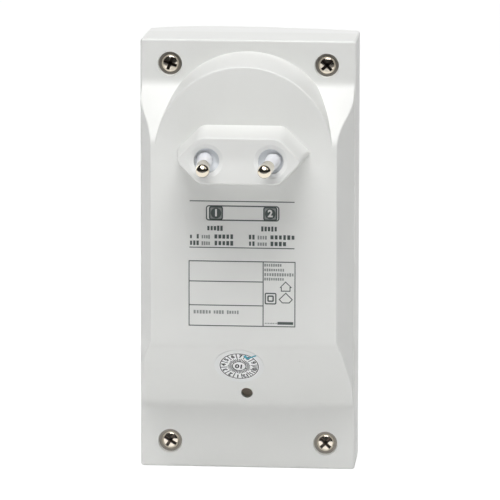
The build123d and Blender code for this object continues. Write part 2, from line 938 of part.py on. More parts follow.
def switch_body(side):
    middle = side * switch_across / 2
    face = body_bottom + slot_depth
    body = block(around(middle, switch_size), around(switch_middle, switch_size),
                 (face, face + switch_depth))
    bore_end = dome_base + touch_gap
    bore = Pos(middle, switch_middle, (face + bore_end) / 2) * Cylinder(
        button_diameter / 2 + button_play, bore_end - face)
    body -= bore
    under = switch_middle - switch_size / 2
    for step in (-1, 1):
        foot = middle + step * switch_size / 3
        body += block(around(foot, leg_width), (board_front + touch_gap, under + leg_width),
                      around(face + switch_depth - leg_width * 2, leg_width * 2))
    return body


def switch_dome(side):
    place = Pos(side * switch_across / 2, switch_middle, dome_base - dome_thickness / 2)
    return place * Cylinder(button_diameter / 2 - fit_gap, dome_thickness)


def push_button(side):
    low = body_bottom + button_below_face
    button = Pos(side * switch_across / 2, switch_middle, low + button_length / 2) * Cylinder(
        button_diameter / 2, button_length)
    return fillet(button.edges().sort_by(Axis.Z)[0], button_below_face)


# Status light and light pipe

def status_light():
    radius = lamp_diameter / 2
    flange = lamp_flange_diameter / 2
    base = board_front + touch_gap
    top = board_front + lamp_height
    rim = radius / sqrt(2)
    edges = [Polyline([(0, top), (0, base), (flange, base), (flange, base + lamp_flange),
                       (radius, base + lamp_flange), (radius, top - radius)]),
             ThreePointArc((radius, top - radius), (rim, top - radius + rim), (0, top))]
    return Pos(0, 0, light_place) * revolve(make_face(edges), Axis.Y)


def light_pipe():
    radius = pipe_diameter / 2
    collar = pipe_collar_diameter / 2
    back = board_front + lamp_height + pipe_gap
    seat = bow_depth(collar, cover_wall) - touch_gap
    tip = bow_depth(0, 0) + pipe_proud
    points = [(0, back), (radius, back), (radius, seat - pipe_collar), (collar, seat - pipe_collar),
              (collar, seat), (radius, seat), (radius, tip - pipe_proud), (radius - pipe_proud, tip),
              (0, tip)]
    return turned(points, (0, light_place))


# Loudspeaker, built up from the seat in the front cover

def cone_front(radius):
    """The depth of the cone's front face at one radius."""
    share = (radius - coil_outer_radius) / (cone_outer_radius - coil_outer_radius)
    return cone_neck + cone_thickness + cone_depth * share


def grille_cloth():
    return disc((0, speaker_middle), speaker_radius, cloth_back, seat_face - touch_gap)


def speaker_gasket():
    return ring((0, speaker_middle), speaker_radius, gasket_inner_radius, gasket_back,
                cloth_back - touch_gap)


def speaker_surround():
    """A soft roll between the cone's edge and the frame."""
    inner = surround_inner_radius
    outer = frame_flange_inner
    middle = (inner + outer) / 2
    edge = cone_outer_radius - 2 * surround_thickness
    back = flange_front + touch_gap
    front = gasket_back - touch_gap
    rise = surround_roll_height
    edges = [Polyline([(outer, back), (speaker_radius, back), (speaker_radius, front), (outer, front)]),
             ThreePointArc((outer, front), (middle, front + rise), (inner, front)),
             Polyline([(inner, front), (edge, front), (edge, back), (inner, back)]),
             ThreePointArc((inner, back), (middle, back + rise), (outer, back))]
    return Pos(0, 0, speaker_middle) * revolve(make_face(edges), Axis.Y)


def speaker_frame():
    ledge_back = ledge - frame_thickness
    base_front = base_back + frame_thickness
    slant = frame_thickness
    points = [(speaker_radius, flange_back), (frame_flange_inner + slant, flange_back),
              (frame_lower_radius + slant, ledge_back), (frame_ledge_radius + slant, ledge_back),
              (frame_ledge_radius + slant, base_back), (frame_bore_radius, base_back),
              (frame_bore_radius, base_front), (frame_ledge_radius, base_front),
              (frame_ledge_radius, ledge), (frame_lower_radius, ledge),
              (frame_flange_inner, flange_front), (speaker_radius, flange_front)]
    return turned(points, (0, speaker_middle))


def speaker_terminals():
    low = speaker_middle + frame_flange_inner + frame_thickness
    back = flange_back - touch_gap
    return block(around(0, terminal_width), (back - terminal_thickness, back), (low, low + terminal_height))


def top_plate():
    return ring((0, speaker_middle), top_plate_radius, gap_outer_radius,
                base_back - top_plate_thickness, base_back)


def speaker_magnet():
    front = base_back - top_plate_thickness
    return ring((0, speaker_middle), magnet_outer_radius, magnet_inner_radius,
                front - magnet_thickness, front)


def speaker_yoke():
    plate_front = base_back - top_plate_thickness - magnet_thickness
    yoke = disc((0, speaker_middle), yoke_radius, plate_front - yoke_thickness, plate_front)
    return yoke + disc((0, speaker_middle), gap_inner_radius, plate_front - yoke_thickness, base_back)


def voice_coil():
    start = base_back - top_plate_thickness - cone_travel * 3
    return ring((0, speaker_middle), coil_inner_radius + coil_wall, coil_inner_radius, start,
                cone_neck + cone_thickness)


def speaker_cone():
    outer = cone_outer_radius
    inner = coil_outer_radius
    points = [(inner, cone_front(inner) - cone_thickness), (outer, cone_front(outer) - cone_thickness),
              (outer, cone_front(outer)), (inner, cone_front(inner))]
    return turned(points, (0, speaker_middle))


def dust_cap():
    """A thin round cap over the end of the coil."""
    edge = coil_outer_radius + 2 * cone_thickness
    base = cone_front(edge) + touch_gap
    sheet = cone_thickness
    radius = (edge ** 2 + dust_cap_rise ** 2) / (2 * dust_cap_rise)
    centre = base + dust_cap_rise - radius

    def dome(grow):
        return [(across, centre + sqrt((radius + grow) ** 2 - across ** 2)) for across in (0, edge / 2, edge)]

    inner, outer = dome(0), dome(sheet)
    edges = [Line(inner[0], outer[0]), ThreePointArc(*outer), Line(outer[2], inner[2]),
             ThreePointArc(*inner)]
    return Pos(0, 0, speaker_middle) * revolve(make_face(edges), Axis.Y)


def spider():
    """The flat corrugated disc that centres the coil."""
    return ring((0, speaker_middle), spider_outer_radius, coil_outer_radius, spider_plane,
                spider_plane + spider_thickness)


def speaker_clamps():
    inner = speaker_radius - terminal_thickness
    outer = clamp_reach + clamp_post_diameter / 2
    clamps = []
    for angle in clamp_angles():
        plate = Pos((inner + outer) / 2, 0) * Rectangle(outer - inner, clamp_width)
        hole = Pos(clamp_reach, 0) * Circle(clamp_screw_bore / 2)
        outline = Pos(0, speaker_middle) * Rot(0, 0, angle) * (plate - hole)
        clamps.append(slab(outline, clamp_back, clamp_back + clamp_thickness))
    return clamps


def clamp_screws():
    return [screw(clamp_place(clamp_reach, angle), clamp_back, 1, clamp_head_diameter, clamp_head_height,
                  clamp_screw_diameter, clamp_screw_length, angle) for angle in clamp_angles()]


def speaker_leads():
    leads = []
    top = flange_back - terminal_thickness - 2 * touch_gap
    high = speaker_middle + frame_flange_inner + frame_thickness + terminal_height / 2
    for side in (-1, 1):
        across = side * speaker_lead_across / 2
        points = [(across, top, high), (across, speaker_lead_top, high),
                  (across, speaker_lead_low, speaker_lead_board),
                  (across, board_front + touch_gap, speaker_lead_board)]
        leads.append(wire(points, speaker_lead_diameter))
    return leads


def pair(make):
    """Both pieces of a left and right pair."""
    return lambda: [make(-1), make(1)]


pieces = {
    "rear_housing": rear_housing,
    "front_cover": front_cover,
    "plug_pins": pair(plug_pin),
    "pin_sleeves": pair(pin_sleeve),
    "pin_carrier": pin_carrier,
    "pin_contacts": pair(pin_contact),
    "housing_screws": housing_screws,
    "date_sticker": date_sticker,
    "main_board": main_board,
    "board_screws": board_screws,
    "transformer_core": transformer_core,
    "transformer_bobbin": transformer_bobbin,
    "transformer_windings": transformer_windings,
    "fuse_resistor": fuse_resistor,
    "varistor": varistor,
    "rectifier_diodes": rectifier_diodes,
    "smoothing_capacitor": smoothing_capacitor,
    "voltage_regulator": voltage_regulator,
    "melody_chip": melody_chip,
    "amplifier_chip": amplifier_chip,
    "crystal": crystal,
    "receiver_board": receiver_board,
    "receiver_pins": receiver_pins,
    "receiver_shield": receiver_shield,
    "tuning_coil": tuning_coil,
    "aerial_wire": aerial_wire,
    "switch_bodies": pair(switch_body),
    "switch_domes": pair(switch_dome),
    "button_1": lambda: push_button(-1),
    "button_2": lambda: push_button(1),
    "status_light": status_light,
    "light_pipe": light_pipe,
    "grille_cloth": grille_cloth,
    "speaker_gasket": speaker_gasket,
    "speaker_surround": speaker_surround,
    "speaker_frame": speaker_frame,
    "speaker_terminals": speaker_terminals,
    "top_plate": top_plate,
    "speaker_magnet": speaker_magnet,
    "speaker_yoke": speaker_yoke,
    "voice_coil": voice_coil,
    "speaker_cone": speaker_cone,
    "dust_cap": dust_cap,
    "spider": spider,
    "speaker_clamps": speaker_clamps,
    "clamp_screws": clamp_screws,
    "speaker_leads": speaker_leads,
}

for name, make in pieces.items():
    made = make()
    if isinstance(made, list):
        made = Compound(children=made)
    export_step(made, f"parts/{name}.step")
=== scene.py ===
import math
import bmesh
import bpy
from mathutils import Matrix, Vector


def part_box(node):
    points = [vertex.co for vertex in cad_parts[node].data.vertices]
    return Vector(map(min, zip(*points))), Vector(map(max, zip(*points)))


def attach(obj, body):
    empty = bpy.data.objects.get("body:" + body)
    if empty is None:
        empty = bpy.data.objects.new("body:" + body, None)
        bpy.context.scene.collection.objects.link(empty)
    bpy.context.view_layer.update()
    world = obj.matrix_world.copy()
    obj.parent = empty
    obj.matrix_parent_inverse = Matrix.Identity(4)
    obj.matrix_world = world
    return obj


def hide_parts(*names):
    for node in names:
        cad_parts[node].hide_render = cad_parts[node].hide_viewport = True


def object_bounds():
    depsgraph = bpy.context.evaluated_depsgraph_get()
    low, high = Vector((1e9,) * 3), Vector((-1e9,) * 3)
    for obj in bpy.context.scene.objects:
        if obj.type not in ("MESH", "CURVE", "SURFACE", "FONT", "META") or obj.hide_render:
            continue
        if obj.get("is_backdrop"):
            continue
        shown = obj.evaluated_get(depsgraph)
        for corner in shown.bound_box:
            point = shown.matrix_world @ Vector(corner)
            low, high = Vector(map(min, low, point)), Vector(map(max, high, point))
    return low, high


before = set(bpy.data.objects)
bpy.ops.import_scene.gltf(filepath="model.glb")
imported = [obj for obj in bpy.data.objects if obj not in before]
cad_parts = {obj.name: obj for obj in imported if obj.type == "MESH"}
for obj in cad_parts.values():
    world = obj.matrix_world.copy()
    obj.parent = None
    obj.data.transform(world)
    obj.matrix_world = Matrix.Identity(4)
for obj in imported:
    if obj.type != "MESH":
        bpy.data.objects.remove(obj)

# Sizes are in millimetres here and become metres where a mesh is made.
MM = 0.001
cad_low, cad_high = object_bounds()


# Camera
# A long lens looks at the plug side from a little above and from the right.
# The target is the point in the middle of the picture.
camera_target = Vector((3.394, 0.0, -25.866)) * MM
camera_azimuth = math.radians(4.734)
camera_elevation = math.radians(10.192)
camera_roll = math.radians(0.094)
camera_distance = 1700 * MM
sensor_width = 36.0
focal_pixels = 5875.97
picture_pixels = 500


def in_scene(name, data):
    """An object made of some data, put in the scene."""
    item = bpy.data.objects.new(name, data)
    bpy.context.scene.collection.objects.link(item)
    return item


camera_data = bpy.data.cameras.new("camera")
camera_data.sensor_width = sensor_width
camera_data.lens = focal_pixels * sensor_width / picture_pixels
camera = in_scene("camera", camera_data)
back = Vector((math.sin(camera_azimuth) * math.cos(camera_elevation),
               -math.cos(camera_azimuth) * math.cos(camera_elevation),
               math.sin(camera_elevation)))
level = Vector((math.cos(camera_azimuth), math.sin(camera_azimuth), 0.0))
upright = back.cross(level)
right = level * math.cos(camera_roll) + upright * math.sin(camera_roll)
up = back.cross(right)
turn = Matrix((right, up, back)).transposed().to_4x4()
camera.matrix_world = Matrix.Translation(camera_target + back * camera_distance) @ turn
bpy.context.scene.camera = camera
bpy.context.scene.view_settings.view_transform = "Standard"


# Studio
# A white table under four soft lamps: overhead, high in front, to the right and behind.
# Polished metal mirrors the table near the object, the lamps and the dark room around them.
floor_reach = 3.0
floor_white = (1, 1, 1, 1)
floor_glow = 1.13
# This share of what the camera or polished metal sees of the table is an even glow.
glow_share = 0.85
ambient_white = (1, 1, 1, 1)
ambient_strength = 0.03
dark_room_tone = 0.03
# In mirrors the table turns from dark to white between these distances along Y, in metres.
table_fade = (-0.30, -0.14)
# In mirrors the room behind the object turns from dark to white between these Y shares of a direction.
wall_fade = (0.5, 0.95)
# Each lamp: name, power in watts, size and place in metres.
lamps = (("top_lamp", 12.5, 1.1, (-0.1, -0.35, 1.3)),
         ("high_lamp", 8.8, 0.8, (0.1, -0.85, 1.15)),
         ("side_lamp", 1.7, 0.8, (0.9, -0.3, 1.0)),
         ("back_lamp", 3.6, 1.0, (-1.0, 1.1, 0.35)))


def start_tree(owner):
    """The empty shader tree of a material or world."""
    owner.use_nodes = True
    owner.node_tree.nodes.clear()
    return owner.node_tree


def place_node(tree, kind, links=(), values=(), **settings):
    """A node with its settings made, and its inputs linked or given by name or number."""
    node = tree.nodes.new(kind)
    for name, value in settings.items():
        setattr(node, name, value)
    for name, value in dict(values).items():
        node.inputs[name].default_value = value
    for name, source in dict(links).items():
        tree.links.new(source, node.inputs[name])
    return node


def fill_inputs(tree, node, terms):
    """Gives a node's inputs, in order, sockets or plain numbers, and returns its first output."""
    for index, term in enumerate(terms):
        if isinstance(term, (int, float)):
            node.inputs[index].default_value = term
        else:
            tree.links.new(term, node.inputs[index])
    return node.outputs[0]


def number(tree, operation, *terms):
    """The result of one sum on sockets or plain numbers."""
    return fill_inputs(tree, place_node(tree, "ShaderNodeMath", operation=operation), terms)


def camera_rays(tree):
    """Masks of rays from the camera, and of these with rays off polished metal or through clear plastic."""
    rays = place_node(tree, "ShaderNodeLightPath")
    from_camera = rays.outputs["Is Camera Ray"]
    glossy = number(tree, "MAXIMUM", from_camera, rays.outputs["Is Glossy Ray"])
    return from_camera, number(tree, "MAXIMUM", glossy, rays.outputs["Is Transmission Ray"])


def room_tone(tree, coordinates, fade, from_camera):
    """A tone that turns from the dark room to white along Y, and is white wherever the camera looks."""
    where = place_node(tree, "ShaderNodeTexCoord")
    split = place_node(tree, "ShaderNodeSeparateXYZ", links={0: where.outputs[coordinates]})
    fading = place_node(tree, "ShaderNodeMapRange", interpolation_type="SMOOTHSTEP",
                        links={"Value": split.outputs["Y"]},
                        values={"From Min": fade[0], "From Max": fade[1], "To Min": dark_room_tone})
    return number(tree, "MAXIMUM", fading.outputs[0], from_camera)


floor_mesh = bpy.data.meshes.new("floor")
floor_mesh.from_pydata([(x * floor_reach, y * floor_reach, cad_low.z)
                        for x, y in ((-1, -1), (1, -1), (1, 1), (-1, 1))], [], [(0, 1, 2, 3)])
floor = in_scene("floor", floor_mesh)
floor_paint = bpy.data.materials.new("floor_paint")
tree = start_tree(floor_paint)
from_camera, direct = camera_rays(tree)
matt = place_node(tree, "ShaderNodeBsdfDiffuse", values={"Color": floor_white})
glow = place_node(tree, "ShaderNodeEmission", values={"Strength": floor_glow},
                  links={"Color": room_tone(tree, "Object", table_fade, from_camera)})
mixed = place_node(tree, "ShaderNodeMixShader",
                   links={0: number(tree, "MULTIPLY", direct, glow_share), 1: matt.outputs[0],
                          2: glow.outputs[0]})
place_node(tree, "ShaderNodeOutputMaterial", links={"Surface": mixed.outputs[0]})
floor_mesh.materials.append(floor_paint)
floor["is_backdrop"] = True

world = bpy.data.worlds.new("studio")
tree = start_tree(world)
from_camera, direct = camera_rays(tree)
ambient = place_node(tree, "ShaderNodeBackground",
                     values={"Color": ambient_white, "Strength": ambient_strength})
shown = place_node(tree, "ShaderNodeBackground",
                   links={"Color": room_tone(tree, "Generated", wall_fade, from_camera)})
mixed = place_node(tree, "ShaderNodeMixShader", links={0: direct, 1: ambient.outputs[0], 2: shown.outputs[0]})
place_node(tree, "ShaderNodeOutputWorld", links={"Surface": mixed.outputs[0]})
bpy.context.scene.world = world

for name, power, size, place in lamps:
    lamp_data = bpy.data.lights.new(name, "AREA")
    lamp_data.energy = power
    lamp_data.size = size
    lamp = in_scene(name, lamp_data)
    lamp.location = place
    lamp.rotation_euler = (camera_target - Vector(place)).to_track_quat("-Z", "Y").to_euler()


# Rear housing
# One white moulding of hard plastic: a tray with a raised back, an arched boss and the plug's block.
# Its satin face comes from a finely eroded mould, and it carries a few specks of dust.
housing_white = (0.815, 0.82, 0.80)
housing_roughness = 0.44
housing_tone = 0.05
grain_size = 0.35
grain_relief = 0.012
dust_colour = (0.42, 0.40, 0.37)
# Specks have places this far apart, and this share of the places is clean.
speck_spacing = 4.2
clean_share = 0.8
# A speck's radius is this share of the spacing.
speck_share = 0.03


def shader_group(name, inputs, outputs):
    """A shader node group with the sockets named, and its input and output nodes."""
    group = bpy.data.node_groups.new(name, "ShaderNodeTree")
    for direction, sockets in (("INPUT", inputs), ("OUTPUT", outputs)):
        for label, kind in sockets.items():
            group.interface.new_socket(label, in_out=direction, socket_type="NodeSocket" + kind)
    return group, group.nodes.new("NodeGroupInput"), group.nodes.new("NodeGroupOutput")


def give_out(group, made, **results):
    """Links results to a group's outputs of the same names."""
    for label, source in results.items():
        group.links.new(source, made.inputs[label])


def fine_position(group, size):
    """Object coordinates counted in a size that is given in millimetres."""
    where = place_node(group, "ShaderNodeTexCoord")
    return place_node(group, "ShaderNodeVectorMath", operation="SCALE",
                      links={0: where.outputs["Object"],
                             "Scale": number(group, "DIVIDE", 1 / MM, size)}).outputs[0]


def swing(group, texture, spread, middle):
    """A value that swings about its middle as a noise texture swings about a half."""
    return number(group, "MULTIPLY_ADD", number(group, "SUBTRACT", texture.outputs[0], 0.5), spread, middle)


def painted(tree, mask, under, colour):
    """A colour laid over another where the mask is 1."""
    mix = place_node(tree, "ShaderNodeMix", data_type="RGBA", values={7: (*colour, 1)},
                     links={0: mask, 6: under})
    return mix.outputs[2]


surface_tone, given, made = shader_group(
    "surface_tone", {"Colour": "Color", "Tone Spread": "Float", "Patch Size": "Float",
                     "Roughness": "Float", "Roughness Spread": "Float", "Grain Size": "Float"},
    {"Colour": "Color", "Roughness": "Float", "Grain": "Float"})
patches = place_node(surface_tone, "ShaderNodeTexNoise", values={"Scale": 1.0, "Detail": 3.0},
                     links={"Vector": fine_position(surface_tone, given.outputs["Patch Size"])})
grain = place_node(surface_tone, "ShaderNodeTexNoise", values={"Scale": 1.0},
                   links={"Vector": fine_position(surface_tone, given.outputs["Grain Size"])})
tinted = place_node(surface_tone, "ShaderNodeVectorMath", operation="SCALE",
                    links={0: given.outputs["Colour"],
                           "Scale": swing(surface_tone, patches, given.outputs["Tone Spread"], 1.0)})
rough = swing(surface_tone, grain, given.outputs["Roughness Spread"], given.outputs["Roughness"])
give_out(surface_tone, made, Colour=tinted.outputs[0], Roughness=rough, Grain=grain.outputs[0])

dust, given, made = shader_group("dust", {"Spacing": "Float", "Speck Share": "Float"}, {"Specks": "Float"})
cells = place_node(dust, "ShaderNodeTexVoronoi", values={"Scale": 1.0},
                   links={"Vector": fine_position(dust, given.outputs["Spacing"])})
chance = place_node(dust, "ShaderNodeSeparateColor", links={0: cells.outputs["Color"]})
chosen = number(dust, "GREATER_THAN", chance.outputs[0], clean_share)
near = number(dust, "LESS_THAN", cells.outputs["Distance"], given.outputs["Speck Share"])
give_out(dust, made, Specks=number(dust, "MULTIPLY", chosen, near))


def use_group(tree, group, values):
    """A shader node group placed in a material's tree, with its own values."""
    return place_node(tree, "ShaderNodeGroup", node_tree=group, values=values)


def finish(name, colour, roughness, tone=0.03, patch=18.0, spread=0.06, grain_size=0.4, relief=0.01,
           values=()):
    """A material with uneven tone, roughness and grain, and its tree, tone node, bump and shader."""
    material = bpy.data.materials.new(name)
    tree = start_tree(material)
    surface = use_group(tree, surface_tone, {
        "Colour": (*colour, 1), "Tone Spread": tone, "Patch Size": patch, "Roughness": roughness,
        "Roughness Spread": spread, "Grain Size": grain_size})
    bump = place_node(tree, "ShaderNodeBump", links={"Height": surface.outputs["Grain"]},
                      values={"Strength": 0.6, "Distance": relief * MM})
    principled = place_node(tree, "ShaderNodeBsdfPrincipled", values=values,
                            links={"Base Color": surface.outputs["Colour"],
                                   "Roughness": surface.outputs["Roughness"],
                                   "Normal": bump.outputs["Normal"]})
    place_node(tree, "ShaderNodeOutputMaterial", links={"Surface": principled.outputs[0]})
    return material, tree, surface, bump, principled


def dress(material, *nodes):
    """Gives a finish to nodes that keep their own shape."""
    for node in nodes:
        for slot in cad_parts[node].material_slots:
            slot.material = material


housing_plastic, tree, surface, _, principled = finish(
    "housing_plastic", housing_white, housing_roughness, tone=housing_tone, grain_size=grain_size,
    relief=grain_relief)
specks = use_group(tree, dust, {"Spacing": speck_spacing, "Speck Share": speck_share})
dusty = painted(tree, specks.outputs["Specks"], surface.outputs["Colour"], dust_colour)
tree.links.new(dusty, principled.inputs["Base Color"])
dress(housing_plastic, "rear_housing")


# Printed guide and data panel
# Dark green-grey pad printing on the flat of the raised back, a few hundredths of a millimetre thick.
# Two plain numerals mark the two buttons; the rest is rules, frames and rows of short dashes.
ink_colour = (0.085, 0.105, 0.10)
faint_ink_colour = (0.30, 0.32, 0.31)
ink_rise = 0.03
plug_height = 17.0
raised_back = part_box("rear_housing")[0].y / MM + plug_height
ink_front, ink_back = raised_back - ink_rise, raised_back + ink_rise
rule_width = 0.27
thick_rule_width = 1.3 * rule_width
thickest_rule_width = 1.5 * rule_width
panel_left, panel_right, panel_top, panel_bottom = -15.9, 15.2, -32.4, -51.6
panel_split = 5.86
panel_rows = (-38.4, -45.5)
rule_rows = ((-15.7, 15.0, -14.6), (-15.8, 15.0, -28.35))
# Rounded frames, for the guide and for a cell of the panel: left, right, foot, top and corner.
guide_frame = (-10.8, 10.4, -20.2, -16.0, 0.7)
cell_frame = (6.5, 9.6, -44.85, -41.75, 0.3)
inner_cell_frame = (7.3, 8.8, -44.05, -42.55, 0.2)
# Plain outlines in X and Z, which fill two other cells of the panel.
house = ((10.9, -39.9), (12.45, -38.3), (14.1, -39.9), (13.75, -39.9), (13.75, -41.0), (11.2, -41.0),
         (11.2, -39.9))
diamond = ((10.6, -43.5), (12.5, -41.6), (14.4, -43.5), (13.5, -44.5), (11.5, -44.5))
solid_bar = (10.1, 14.7, -51.0, -50.2)
guide_marks = ((-8.0, "1"), (7.9, "2"))
mark_middle = -18.15
mark_size = 3.7
mark_half = mark_size / 2
mark_corner = 0.5
mark_rule_width = 0.42
mark_disc = 1.55
numeral_height = 2.0
# A figure's height is this share of its letter size, and its strokes grow by this share of its height.
figure_share = 0.7
figure_boldness = 0.06
# Each row of dashes: left end, right end, foot, height, how many dashes and how dark.
dash_rows = [
    (-10.7, -5.9, -23.4, 1.55, 5, "ink"), (5.1, 10.0, -23.4, 1.55, 5, "ink"),
    (-15.8, -14.9, -25.8, 1.2, 1, "ink"), (-13.8, -12.9, -25.8, 1.4, 1, "ink"),
    (-12.3, -9.7, -25.8, 1.2, 4, "faint"), (-8.6, -2.8, -25.8, 1.45, 5, "ink"),
    (-15.8, -12.9, -27.75, 1.4, 3, "ink"), (-12.3, -9.7, -27.75, 1.2, 4, "faint"),
    (-8.6, -2.8, -27.75, 1.45, 5, "ink"),
    (1.5, 3.5, -25.8, 1.4, 2, "ink"), (4.1, 7.0, -25.8, 1.2, 4, "faint"), (7.8, 15.2, -25.8, 1.45, 6, "ink"),
    (1.5, 3.5, -27.75, 1.4, 2, "ink"), (4.1, 7.0, -27.75, 1.2, 4, "faint"),
    (7.8, 12.7, -27.75, 1.45, 4, "ink"),
    (-14.7, -9.4, -48.1, 1.1, 6, "faint"), (-8.8, -5.6, -48.1, 1.1, 4, "faint"),
    (-4.9, -1.2, -48.1, 1.1, 5, "faint"),
    (6.1, 11.3, -33.8, 0.9, 8, "faint"), (6.1, 12.1, -35.2, 0.85, 9, "faint"),
    (6.1, 14.9, -36.65, 1.0, 12, "faint"), (6.1, 12.0, -37.95, 0.9, 9, "faint"),
    (6.3, 10.1, -50.85, 0.35, 8, "faint"),
]
# How much of its pitch a dark or a faint dash fills, and how much smaller a dash may be.
dark_fill, faint_fill = 0.74, 0.76
dash_unevenness = 0.22


def block(low, high):
    """One closed block between two corners, as vertices and faces."""
    vertices = [(x, y, z) for x in (low[0], high[0]) for y in (low[1], high[1]) for z in (low[2], high[2])]
    return vertices, [(0, 1, 3, 2), (4, 6, 7, 5), (0, 4, 5, 1), (2, 3, 7, 6), (0, 2, 6, 4), (1, 5, 7, 3)]


def outline_strip(points, width, front, back, closed=True):
    """A flat strip of even width along points in X and Z, as closed geometry between two depths."""
    count = len(points)
    sides = []
    for index in range(count):
        before = Vector(points[index - 1]) if closed or index else Vector(points[0])
        here = Vector(points[index])
        after = Vector(points[(index + 1) % count]) if closed or index < count - 1 else here
        arrive = (here - before).normalized() if (here - before).length else (after - here).normalized()
        leave = (after - here).normalized() if (after - here).length else arrive
        across = Vector((-(arrive + leave).y, (arrive + leave).x)).normalized()
        # The point of a sharp corner reaches no further than twice the strip's half width.
        reach = width / 2 / max(0.5, across.dot(Vector((-arrive.y, arrive.x))))
        sides.append((here - across * reach, here + across * reach))
    vertices, faces = [], []
    for inner, outer in sides:
        vertices += [(inner.x, front, inner.y), (outer.x, front, outer.y),
                     (outer.x, back, outer.y), (inner.x, back, inner.y)]
    spans = count if closed else count - 1
    for index in range(spans):
        this, following = 4 * index, 4 * ((index + 1) % count)
        faces += [[this + side, this + (side + 1) % 4, following + (side + 1) % 4, following + side]
                  for side in range(4)]
    if not closed:
        faces += [[0, 3, 2, 1], [4 * spans, 4 * spans + 1, 4 * spans + 2, 4 * spans + 3]]
    return vertices, faces


def printed_strip(points, width=rule_width, closed=True):
    """A strip of ink on the raised back."""
    return outline_strip(points, width, ink_front, ink_back, closed)


def rounded_frame(left, right, low, high, corner, steps=4):
    """The points of a rectangle with round corners."""
    points = []
    for x, z, start in ((right - corner, high - corner, 0), (left + corner, high - corner, 90),
                        (left + corner, low + corner, 180), (right - corner, low + corner, 270)):
        for step in range(steps + 1):
            angle = math.radians(start + 90 * step / steps)
            points.append((x + corner * math.cos(angle), z + corner * math.sin(angle)))
    return points


def circle(radius, middle=(0, 0), steps=72):
    """Points evenly round a middle."""
    turns = [math.tau * step / steps for step in range(steps)]
    return [(middle[0] + radius * math.cos(turn), middle[1] + radius * math.sin(turn)) for turn in turns]


def disc_block(middle, radius, front, back, steps=40):
    """A thin round plate that faces the plug side."""
    rim = circle(radius, middle, steps)
    vertices = [(x, front, z) for x, z in rim] + [(x, back, z) for x, z in rim]
    faces = [list(range(steps)), list(range(steps, 2 * steps))[::-1]]
    faces += [[step, step + steps, (step + 1) % steps + steps, (step + 1) % steps] for step in range(steps)]
    return vertices, faces


def join_parts(parts):
    """One list of vertices and one of faces from several."""
    vertices, faces = [], []
    for some_vertices, some_faces in parts:
        start = len(vertices)
        vertices += some_vertices
        faces += [[start + corner for corner in face] for face in some_faces]
    return vertices, faces


def new_piece(name, vertices, faces, material=None):
    """A mesh object with its vertices given in millimetres."""
    mesh = bpy.data.meshes.new(name)
    mesh.from_pydata([Vector(vertex) * MM for vertex in vertices], [], faces)
    if material:
        mesh.materials.append(material)
    return in_scene(name, mesh)


def outward(piece):
    """Merges a piece's doubled corners and turns all its faces outwards."""
    shape = bmesh.new()
    shape.from_mesh(piece.data)
    bmesh.ops.remove_doubles(shape, verts=shape.verts, dist=0.001 * MM)
    bmesh.ops.recalc_face_normals(shape, faces=shape.faces)
    shape.to_mesh(piece.data)
    shape.free()


def closed_piece(name, shape, material):
    """A piece made of closed parts, given as vertices and faces."""
    piece = new_piece(name, *shape, material)
    outward(piece)
    return piece


def ink_material(name, colour):
    """Printed ink or pen, a little uneven."""
    material, *_ = finish(name, colour, roughness=0.5, tone=0.25, patch=1.2, grain_size=0.12, relief=0.004)
    return material


ink = ink_material("print_ink", ink_colour)
faint_ink = ink_material("faint_print_ink", faint_ink_colour)

rules = [((left, height), (right, height)) for left, right, height in rule_rows]
rules += [((panel_left, height), (panel_split, height)) for height in panel_rows]
rules.append(((panel_split, panel_bottom), (panel_split, panel_top)))
panel = ((panel_left, panel_bottom), (panel_right, panel_bottom), (panel_right, panel_top),
         (panel_left, panel_top))
parts = [printed_strip(points, closed=False) for points in rules]
parts += [printed_strip(points) for points in (panel, house, diamond)]
parts += [printed_strip(rounded_frame(*guide_frame), thick_rule_width),
          printed_strip(rounded_frame(*cell_frame), thick_rule_width),
          printed_strip(rounded_frame(*inner_cell_frame), thickest_rule_width)]
for middle, _ in guide_marks:
    square = rounded_frame(middle - mark_half, middle + mark_half, mark_middle - mark_half,
                           mark_middle + mark_half, mark_corner)
    parts.append(printed_strip(square, mark_rule_width))
left, right, low, high = solid_bar
parts.append(block((left, ink_front, low), (right, ink_back, high)))
printed_lines = closed_piece("printed_lines", join_parts(parts), ink)
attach(printed_lines, "box")


def vector(tree, x, y, z):
    """A vector of sockets or plain numbers."""
    return fill_inputs(tree, place_node(tree, "ShaderNodeCombineXYZ"), (x, y, z))


def node_tree(name, **inputs):
    """A Geometry Nodes tree with its inputs, named with _ for a space, and its input and output nodes."""
    tree = bpy.data.node_groups.new(name, "GeometryNodeTree")
    tree.interface.new_socket("Geometry", in_out="INPUT", socket_type="NodeSocketGeometry")
    for label, kind in inputs.items():
        tree.interface.new_socket(label.replace("_", " "), in_out="INPUT", socket_type="NodeSocket" + kind)
    tree.interface.new_socket("Geometry", in_out="OUTPUT", socket_type="NodeSocketGeometry")
    return tree, tree.nodes.new("NodeGroupInput"), tree.nodes.new("NodeGroupOutput")


def carried(tree, name, kind="FLOAT_VECTOR"):
    """What each point or face of a tree's mesh carries under a name."""
    return place_node(tree, "GeometryNodeInputNamedAttribute", data_type=kind,
                      values={"Name": name}).outputs[0]


def end_tree(tree, made, geometry, material, **marked):
    """Ends a tree with real geometry in one material, and in others where its faces carry a mark."""
    solid = place_node(tree, "GeometryNodeRealizeInstances", links={0: geometry})
    coated = place_node(tree, "GeometryNodeSetMaterial",
                        links={"Geometry": solid.outputs[0], "Material": material})
    for mark, other in marked.items():
        chosen = number(tree, "GREATER_THAN", carried(tree, mark, "FLOAT"), 0.5)
        coated = place_node(tree, "GeometryNodeSetMaterial",
                            links={"Geometry": coated.outputs[0], "Material": other, "Selection": chosen})
    tree.links.new(coated.outputs[0], made.inputs["Geometry"])


